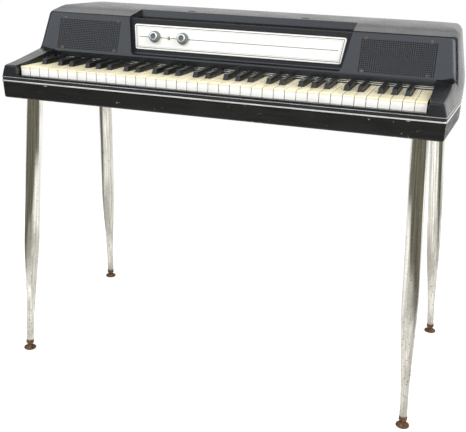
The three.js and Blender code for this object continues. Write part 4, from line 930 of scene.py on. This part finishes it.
def railBead(foot):
    r, half = railForm, railForm["bead"] / 2
    behind = r["seat"] + r["sunk"]
    return alongRail([*oval(r["seat"], foot + half, -r["deep"], half, -90, 90, 8), (behind, foot + r["bead"]),
                      (behind, foot)])


pieceOf("key_stop_backing", alongRail([(railForm[y], railForm[z]) for y, z in (
    ("seat", "foot"), ("back", "foot"), ("back", "top"), ("seat", "top"))]),
        "piano", "aluminium", [softRubber], replaced=["key_stop_rail"])
pieceOf("key_stop_beads", joinedForms([railBead(foot) for foot in railForm["beadFeet"]]), "piano", "bright_trim",
        [railAluminium], smoothAngle=60)

# Control panel, its print, knobs and pilot lamp, in the plane of the pocket's back
panelForm = {
    "footHalf": 243.6, "topHalf": 250.5, "foot": 36.3, "top": 92, "corner": 5, "gap": 0.3, "thick": 1.5, "soft": 0.35,
    "knobs": {"volume_knob": -197, "vibrato_knob": -127.4}, "knobHeight": 65.5, "shaftHole": 4,
    "lampX": -161.6, "lampHeight": 64.6, "lampHole": 3.5,
}
surroundForm = {"foot": 28.2, "top": 103.4, "gap": 1.2, "corner": 7, "back": -0.4, "front": 0.25}
panelSlope = pocketForm["rake"] / (pocketForm["top"] - pocketForm["foot"])
panelPlane = leaningPlane(0, pocketForm["depth"], pocketForm["foot"], panelSlope)


def up(height):  # along the leaning panel
    return (height - pocketForm["foot"]) * math.hypot(1, panelSlope)


def drilled(plate, z, depth):  # with holes for the knobs' shafts and the lamp
    p = panelForm
    shafts = [(x, p["knobHeight"], p["shaftHole"]) for x in p["knobs"].values()]
    for x, height, radius in shafts + [(p["lampX"], p["lampHeight"], p["lampHole"])]:
        cut(plate, tool(roundTool(x, up(height), z, radius, depth)))
    return plate


def makeSurround():  # the smooth dark sheet on the pocket's back that the panel lies on
    p, s = pocketForm, surroundForm
    half = lambda z: mixed(p["footHalf"], p["topHalf"], (z - p["foot"]) / (p["top"] - p["foot"])) - s["gap"]
    side = [*arc(half(s["foot"]) - s["corner"], up(s["foot"]) + s["corner"], s["corner"], -90, 0, 6),
            (half(s["top"]), up(s["top"]))]
    sheet = tool(extrudedZ(bothSides(side), s["back"], s["front"]), "panel_surround")
    finished(placedOn(drilled(sheet, 0, 4), panelPlane), "piano", "panel", [surroundSheet])


def makePanel():
    p = panelForm
    side = [*arc(p["footHalf"] - p["corner"], up(p["foot"]) + p["corner"], p["corner"], -90, 0, 8),
            *arc(p["topHalf"] - p["corner"], up(p["top"]) - p["corner"], p["corner"], 0, 90, 8)]
    front = p["gap"] + p["thick"]
    plate = drilled(tool(extrudedZ(bothSides(side), p["gap"], front), "control_panel_plate"), 1, 8)
    softened(plate, p["soft"], 2, lambda e: extent(e, 2)[0] > front - 0.01 and abs(e.verts[0].co.x) > 30)
    finished(placedOn(plate, panelPlane), "piano", "panel", [panelWhite], replaced=["control_panel"], weighted=True)


# Ink on the panel: two frame lines (inset and width), then a line and dots on the level of the knobs
printForm = {
    "rise": 0.1, "sunk": 0.05, "borders": ((4.0, 1.5), (6.9, 0.45)), "level": 64.3, "width": 1.5, "dot": 1.5,
    "runs": ((-236, -213), (-183, -165.5), (-157.5, -143.5), (-113.5, 234)), "dots": (-181, -111.7),
}


def printedLine(points, width):
    strips = []
    low = panelForm["gap"] + panelForm["thick"] - printForm["sunk"]
    for a, b in zip(points, points[1:]):
        a, b = Vector(a), Vector(b)
        run = (b - a).normalized() * width / 2
        across = leftOf(run)
        corners = [a - run - across, b + run - across, b + run + across, a - run + across]
        strips.append(extrudedZ(corners, low, low + printForm["rise"]))
    return strips


def makePrint():
    p, ink = panelForm, printForm
    foot, top, level = up(p["foot"]), up(p["top"]), up(ink["level"])
    forms = []
    for inset, width in ink["borders"]:
        low, high = foot + inset, top - inset
        below, above = [mixed(p["footHalf"], p["topHalf"], (y - foot) / (top - foot)) - inset for y in (low, high)]
        forms += printedLine([(-below, low), (below, low), (above, high), (-above, high), (-below, low)], width)
    for start, end in ink["runs"]:
        forms += printedLine([(start, level), (end, level)], ink["width"])
    forms += [roundTool(x, level, p["gap"] + p["thick"], ink["dot"], 2 * ink["rise"] + 0.02, 16) for x in ink["dots"]]
    pieceOf("panel_print", joinedForms(forms), "piano", "panel", [printInk], panelPlane)


# Profiles in (radius, height) over the pocket's back
knobForm = {
    "body": [(0, -14), (3.2, -14), (3.2, 2.2), (13.1, 2.2), (13.6, 2.7), (13.6, 4.6), (13, 5.5), (12.1, 6.4),
             (11.6, 9), (10.9, 13.4), (10.4, 14.3), (9.6, 14.6), (9.6, 14.4), (9.6, 12.8), (0, 12.8)],
    "ribs": {"Count": 30, "Radius": 11.15, "Rib": 0.42, "Depth": 5.4}, "ribMiddle": 10.6,
    "ring": [(6.5, 12.7), (9.58, 12.7), (9.58, 14.5), (9.1, 15), (6.9, 15), (6.5, 14.5), (6.5, 12.7)],
    "cap": [(0, 12.7), (6.4, 12.7), (6.4, 13.8), (5.9, 14.1), (5, 13.9), (4.6, 13.5), (2.6, 13.5), (2.2, 14),
            (1.2, 14.3), (0, 14.4)],
    "mark": (0.5, 10.9, 12.6), "markHeights": (3.5, 6.9),
}
lampForm = {
    "lens": [(0, -7), (3.1, -7), (3.1, 1.8), *arc(0, 1.8, 3.1, 15, 75, 4), (0, 4.9)],
    "bezel": [(3.4, 1.75), (4.5, 1.75), (4.5, 2.1), (4.1, 2.5), (3.6, 2.5), (3.4, 2.1), (3.4, 1.75)],
}


def onPanel(x, height, rise=0):
    return panelPlane @ Matrix.Translation((x, up(height), rise))


def makeKnob(name, x):
    k, at = knobForm, onPanel(x, panelForm["knobHeight"])
    pieceOf(name + "_body", turned(k["body"], 64), name, "knob", [knobPlastic], at, replaced=[name], smoothAngle=50)
    ribs = repeated(name + "_ribs", {**k["ribs"], "Material": knobPlastic}, ringOfRibs)
    finished(placedOn(ribs, onPanel(x, panelForm["knobHeight"], k["ribMiddle"])), name, "knob", [knobPlastic],
             smoothAngle=50)
    pieceOf(name + "_ring", turned(k["ring"], 64), name, "knob", [knobRing], at, smoothAngle=50)
    pieceOf(name + "_cap", turned(k["cap"], 48), name, "knob", [knobCentre], at, smoothAngle=50)
    mark = extrudedZ(rectangle(*k["mark"]), *k["markHeights"])
    pieceOf(name + "_mark", mark, name, "knob", [keyFrontPlastic], at)


makeSurround()
makePanel()
makePrint()
for name, x in panelForm["knobs"].items():
    makeKnob(name, x)
lampAt = onPanel(panelForm["lampX"], panelForm["lampHeight"])
pieceOf("pilot_lamp_lens", turned(lampForm["lens"], 32), "piano", "amber", [amberLens], lampAt,
        replaced=["pilot_lamp"], smoothAngle=50)
pieceOf("pilot_lamp_bezel", turned(lampForm["bezel"], 32), "piano", "bright_trim", [knobRing], lampAt, smoothAngle=50)
print("panel and knobs made")

# Keys: the frame's solids with rounded plates and caps. Widths of the roundings, and the heights and depths where
# plates, caps and their rounded edges end. Edges over 0.5 mm above the plates' tops are a cap's.
keyForm = {
    "plate": 0.55, "plateEnd": 149, "plateFoot": -3.05, "plateRear": 153, "lip": 0.45, "lipFoot": -3.2,
    "cap": 1.1, "capTop": 5, "capNose": 60, "capFront": 52, "capRear": 147, "capFoot": -5.02,
}


def onPlate(edge):
    low, high = extent(edge, 2)
    return low > -0.05 and high < 0.5 and extent(edge, 1)[0] < keyForm["plateEnd"]


def onLip(edge):
    return extent(edge, 1)[1] < -0.3 and extent(edge, 2)[0] > keyForm["lipFoot"]


def onCap(edge):
    rear, (low, high) = extent(edge, 1)[1], extent(edge, 2)
    atNose = high > keyForm["capTop"] and rear < keyForm["capNose"]
    return low > 0.5 or atNose or (rear < keyForm["capFront"] and high - low > 1)


def whitePart(normal, middle):  # plate, front or stick; plates' sides take the stick's dark spruce as painted gap shade
    # a plate's side faces fall through to the stick's spruce: painted shade in the gaps between keys
    if middle.z > keyForm["plateFoot"] and middle.y < keyForm["plateRear"] and abs(normal.x) < 0.8:
        return 0
    return 1 if middle.y < 1 and normal.y < -0.5 else 2


def sharpPart(normal, middle):  # cap or stick
    return 0 if middle.z > keyForm["capFoot"] and middle.y < keyForm["capRear"] else 1


def refined(node, roundings, partOf, ending, slot, materials):
    solid = frame["nodes"][node]
    form = cleanCopy(solid.data, 0.01, 0.5, toFrame.inverted())
    for chosen, width, segments in roundings:
        rounded(form, width, segments, 20, chosen)
    for face in form.faces:
        face.material_index = partOf(face.normal, face.calc_center_median())
    pieceOf(node + ending, form, solid["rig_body"], slot, materials, replaced=[node], smoothAngle=32)


for node in sorted(frame["nodes"]):
    if "sharp" in node:
        refined(node, [(onCap, keyForm["cap"], 4)], sharpPart, "_cap_and_stick", "ebony", [sharpPlastic, spruce])
    elif node.endswith("white_keys") or (node.startswith("key_") and node[-1].isdigit()):
        refined(node, [(onPlate, keyForm["plate"], 3), (onLip, keyForm["lip"], 2)], whitePart, "_plate_and_stick",
                "ivory", [keyTopPlastic, keyFrontPlastic, spruce])
print("keys made")

# Legs and glides: profiles in (radius, height) from the ball's middle, from the leg's top or from the floor
legForm = {
    "tube": 18, "tip": 8.8, "tipHeight": 16, "taperHeight": 286, "top": -72.3, "ball": 5, "ballHeight": 8, "cup": 5.3,
    "taper": [(0, 0), (0.05, 0.23), (0.15, 0.32), (0.36, 0.51), (0.63, 0.68), (0.91, 0.9), (1, 1)],
    "neck": [(3.2, 4.2), (3.2, 7.5), (0, 7.5)],
    "ferrule": [(0, 6.8), (8.7, 6.9), (9.5, 7.7), (9.5, 11.5), (9.1, 11.9), (9.5, 12.3), (9.5, 15.6), (9, 16),
                (0, 16)],
    "stud": [(0, -3), (4.7, -3), (4.7, 10), (3.7, 11), (0, 11)],
    "dome": [(0, 0), (13.2, 0), (14.6, 0.6), (15, 1.6), (14.9, 3.2), (14.2, 4.3), (12.7, 5.1), (10.9, 6.3),
             (8.9, 7.6), (7.4, 8.9), (6.4, 9.6), (5.4, 9.5)],
}


def makeLeg(side, seatX, seatY, tipX, tipY):
    g, name = legForm, side + "_leg"
    floorZ = -1000 * keyTopHeight
    tip = Vector((tipX, tipY, g["ballHeight"] + floorZ))
    run = Vector((seatX, seatY, caseForm["underside"])) - tip
    turn = Matrix.Translation(tip) @ run.to_track_quat("Z", "Y").to_matrix().to_4x4()
    shape = curved([(mixed(g["tip"], g["tube"], r), mixed(g["tipHeight"], g["taperHeight"], h))
                    for r, h in g["taper"]], 3)
    top, foot = run.length + 20, g["tipHeight"]
    tube = placedOn(tool(turned([(0, foot), (g["tip"] - 0.6, foot), (g["tip"], foot + 0.6), *shape[1:],
                                 (g["tube"], top), (0, top)], 56), name + "_tube"), turn)
    square = [(seatX + x, y) for x, y in rectangle(60, seatY - 60, seatY + 60)]
    cut(tube, tool(extrudedZ(square, g["top"], g["top"] + 80)))
    unturned, shift = turn.inverted(), Vector((seatX, seatY, 0)) * 0.001
    own = tube.data.attributes.new("legPlace", "FLOAT_VECTOR", "POINT")
    for value, vertex in zip(own.data, tube.data.vertices):
        value.vector = (unturned @ vertex.co) * 0.001 + shift
    finished(tube, "piano", "chrome", [legChrome], replaced=[name], smoothAngle=50)
    pin = [(0, -g["ball"]), *arc(0, 0, g["ball"], -75, 45, 8), *g["neck"]]
    pieceOf(name + "_ball_pin", turned(pin, 32), "piano", "rusted_steel", [glideRust], turn, smoothAngle=45)
    pieceOf(name + "_ferrule", turned(g["ferrule"], 40), "piano", "rusted_steel", [glideRust], turn, smoothAngle=45)
    pieceOf(name + "_stud", turned(g["stud"], 24), "piano", "steel", [zincSteel],
            Matrix.Translation((seatX, seatY, g["top"])), smoothAngle=45)
    dome = [*g["dome"], *arc(0, g["ballHeight"], g["cup"], 15, -75, 6), (0, g["ballHeight"] - g["cup"])]
    glide = side + "_glide"
    pieceOf(glide + "_dome", turned(dome, 48), glide, "rusted_steel", [glideRust],
            Matrix.Translation((tipX, tipY, floorZ)), replaced=[glide], smoothAngle=40)


for side, places in legSeats.items():
    makeLeg(side, *places)
print("legs made")

# Finishes of the frame's own nodes
for finish, names in ((conePaper, ("left_speaker", "right_speaker")), (crossSpruce, ("key_frame", "hammer_rail")),
                      (barAluminium, ("reed_bar", "damper_rail", "amplifier")),
                      (zincSteel, ("power_transformer", "pedal_socket")), (softRubber, ("cord_inlet",))):
    for name in names:
        shown = frame["nodes"][name].data.materials
        shown.clear()
        shown.append(finish)

# Studio: lamps as place, size and power, then what reflections see: white behind, a dim room, and bright windows
# in front and to the right. The last lines give the directions over which each of them begins and ends.
studio = {
    "keyLight": ((-1.5, -2.6, 2.9), 2.4, 66), "fillLight": ((2.7, -1.2, 2.4), 2.0, 52),
    "backLight": ((0.2, 3.0, 2.4), 3.0, 4), "aim": (0, 0, 0.6),
    "room": "464641", "window": "e9eff9", "windowLevels": (1.95, 6.5), "levels": (1.0, 0.6), "aboveShare": 0.8,
    "behind": (-0.15, 0.25), "under": (0.8, 0.95, 1.0, 0.0), "ahead": (-0.1, 0.1, 1.0, 0.0), "raised": (0.08, 0.28),
    "lowish": (0.7, 0.85, 1.0, 0.0), "beside": (0.2, 0.72), "rightward": (-0.8, -0.5, 0.0),
}


def softLight(name, place, size, power):
    lamp = bpy.data.lights.new(name, "AREA")
    lamp.shape, lamp.size, lamp.energy = "DISK", size, power
    holder = linked(name, lamp)
    holder.location = place
    holder.rotation_euler = (Vector(studio["aim"]) - Vector(place)).to_track_quat("-Z", "Y").to_euler()
    holder.visible_camera = holder.visible_glossy = False


def makeWorld():
    world = bpy.data.worlds.new("studio_white")
    bpy.context.scene.world = world
    tree = emptyTree(world)
    rays = addNode(tree, "ShaderNodeLightPath").outputs
    mirrored = computed(tree, "MAXIMUM", rays["Is Glossy Ray"], rays["Is Transmission Ray"])
    seen = computed(tree, "MAXIMUM", rays["Is Camera Ray"], mirrored)
    way = axes(tree, addNode(tree, "ShaderNodeTexCoord").outputs["Generated"])
    aside = computed(tree, "ABSOLUTE", way["X"])
    rearward = computed(tree, "SUBTRACT", way["Y"], product(tree, aside, 0.8))
    frontward = computed(tree, "ADD", product(tree, aside, 0.15), way["Y"])
    sweep = product(tree, ranged(tree, rearward, *studio["behind"]), ranged(tree, way["Z"], *studio["under"]))
    windowed = product(tree, ranged(tree, frontward, *studio["ahead"]), ranged(tree, way["Z"], *studio["lowish"]))
    windowed = product(tree, windowed, ranged(tree, way["Z"], *studio["raised"]))
    beside = ranged(tree, way["X"], *studio["beside"])
    rightward = ranged(tree, way["Y"], *studio["rightward"], beside)
    power = ranged(tree, rightward, 0.0, 1.0, *studio["windowLevels"])
    lit = addNode(tree, "ShaderNodeVectorMath", {0: linear(studio["window"])[:3], "Scale": power}, operation="SCALE")
    window = blended(tree, windowed, linear(studio["room"]), lit.outputs[0])
    indoors = product(tree, mirrored, computed(tree, "SUBTRACT", 1.0, sweep))
    fromFront = ranged(tree, way["Y"], -1.0, 1.0, *studio["levels"])
    fromAbove = ranged(tree, way["Z"], 0.2, 1.0, 1.0, studio["aboveShare"])
    sky = addNode(tree, "ShaderNodeBackground", {
        "Color": blended(tree, indoors, linear("ffffff"), window),
        "Strength": ranged(tree, seen, 0.0, 1.0, product(tree, fromFront, fromAbove), 1.0)})
    addNode(tree, "ShaderNodeOutputWorld", {"Surface": sky.outputs[0]})


# White floor: paper under the object that glows in the picture, grey in reflections beyond the paper's edges
floorForm = {"half": 9, "paper": "f4f4f2", "glow": 0.4, "dim": "7f7d70", "front": -0.95, "side": 0.95,
             "frontSoft": 0.35, "sideSoft": 0.2, "rear": (0.3, 0.7), "whiteFrom": (1.0, 2.0)}


def makeFloor():
    f = floorForm
    form = bmesh.new()
    form.faces.new([form.verts.new((x, y, 0)) for x, y in rectangle(f["half"], -f["half"], f["half"])])
    floor = linked("studio_floor", meshOf(form, "studio_floor"))
    material = bpy.data.materials.new("white_floor")
    tree = emptyTree(material)
    node = lambda kind, **inputs: addNode(tree, "ShaderNode" + kind, inputs).outputs[0]
    either = lambda share, a, b: addNode(tree, "ShaderNodeMixShader", {0: share, 1: a, 2: b}).outputs[0]
    matte = node("BsdfDiffuse", Color=linear(f["paper"]))
    glow = node("Emission", Color=(1, 1, 1, 1), Strength=f["glow"])
    bright = addNode(tree, "ShaderNodeAddShader", {0: matte, 1: glow}).outputs[0]
    rays = addNode(tree, "ShaderNodeLightPath").outputs
    place = addNode(tree, "ShaderNodeTexCoord").outputs["Object"]
    where = axes(tree, place)
    length = ranged(tree, where["Y"], f["front"] - f["frontSoft"], f["front"] + f["frontSoft"])
    width = ranged(tree, computed(tree, "ABSOLUTE", where["X"]), f["side"] - f["sideSoft"], f["side"] + f["sideSoft"],
                   1.0, 0.0)
    onPaper = product(tree, length, computed(tree, "MAXIMUM", width, ranged(tree, where["Y"], *f["rear"])))
    glossy, camera = rays["Is Glossy Ray"], rays["Is Camera Ray"]
    offPaper = product(tree, glossy, computed(tree, "SUBTRACT", 1.0, onPaper))
    plain = either(offPaper, matte, node("Emission", Color=linear(f["dim"]), Strength=1.0))
    near = either(computed(tree, "MAXIMUM", camera, product(tree, glossy, onPaper)), plain, bright)
    far = ranged(tree, vectorMath(tree, "LENGTH", place)["Value"], *f["whiteFrom"])
    chosen = either(product(tree, far, camera), near, node("Emission", Color=(1, 1, 1, 1), Strength=1.0))
    addNode(tree, "ShaderNodeOutputMaterial", {"Surface": chosen})
    floor.data.materials.append(material)


# The photo's camera: place in mm, turns in radians, focal length in pixels of the photo's width
cameraForm = {"place": (535.226, -1490.866, 248.575), "yaw": 0.305146, "pitch": 0.328093, "roll": 0.0391515,
              "focalPixels": 760.412, "frameWidth": 466}


def makeCamera():
    c = cameraForm
    lens = bpy.data.cameras.new("photo_camera")
    lens.sensor_width = 36
    lens.lens = c["focalPixels"] / c["frameWidth"] * lens.sensor_width
    camera = linked("photo_camera", lens)
    flat = math.cos(c["pitch"])
    ahead = Vector((-math.sin(c["yaw"]) * flat, math.cos(c["yaw"]) * flat, -math.sin(c["pitch"])))
    right = ahead.cross(Vector((0, 0, 1))).normalized()
    turn = Matrix.Rotation(-c["roll"], 3, ahead)
    facing = Matrix((turn @ right, turn @ right.cross(ahead), -(turn @ ahead))).transposed()
    camera.matrix_world = Matrix.Translation(toFrame @ Vector(c["place"])) @ facing.to_4x4()
    bpy.context.scene.camera = camera


for name in ("keyLight", "fillLight", "backLight"):
    softLight(name, *studio[name])
makeWorld()
makeFloor()
makeCamera()
bpy.context.scene.view_settings.view_transform = "Standard"
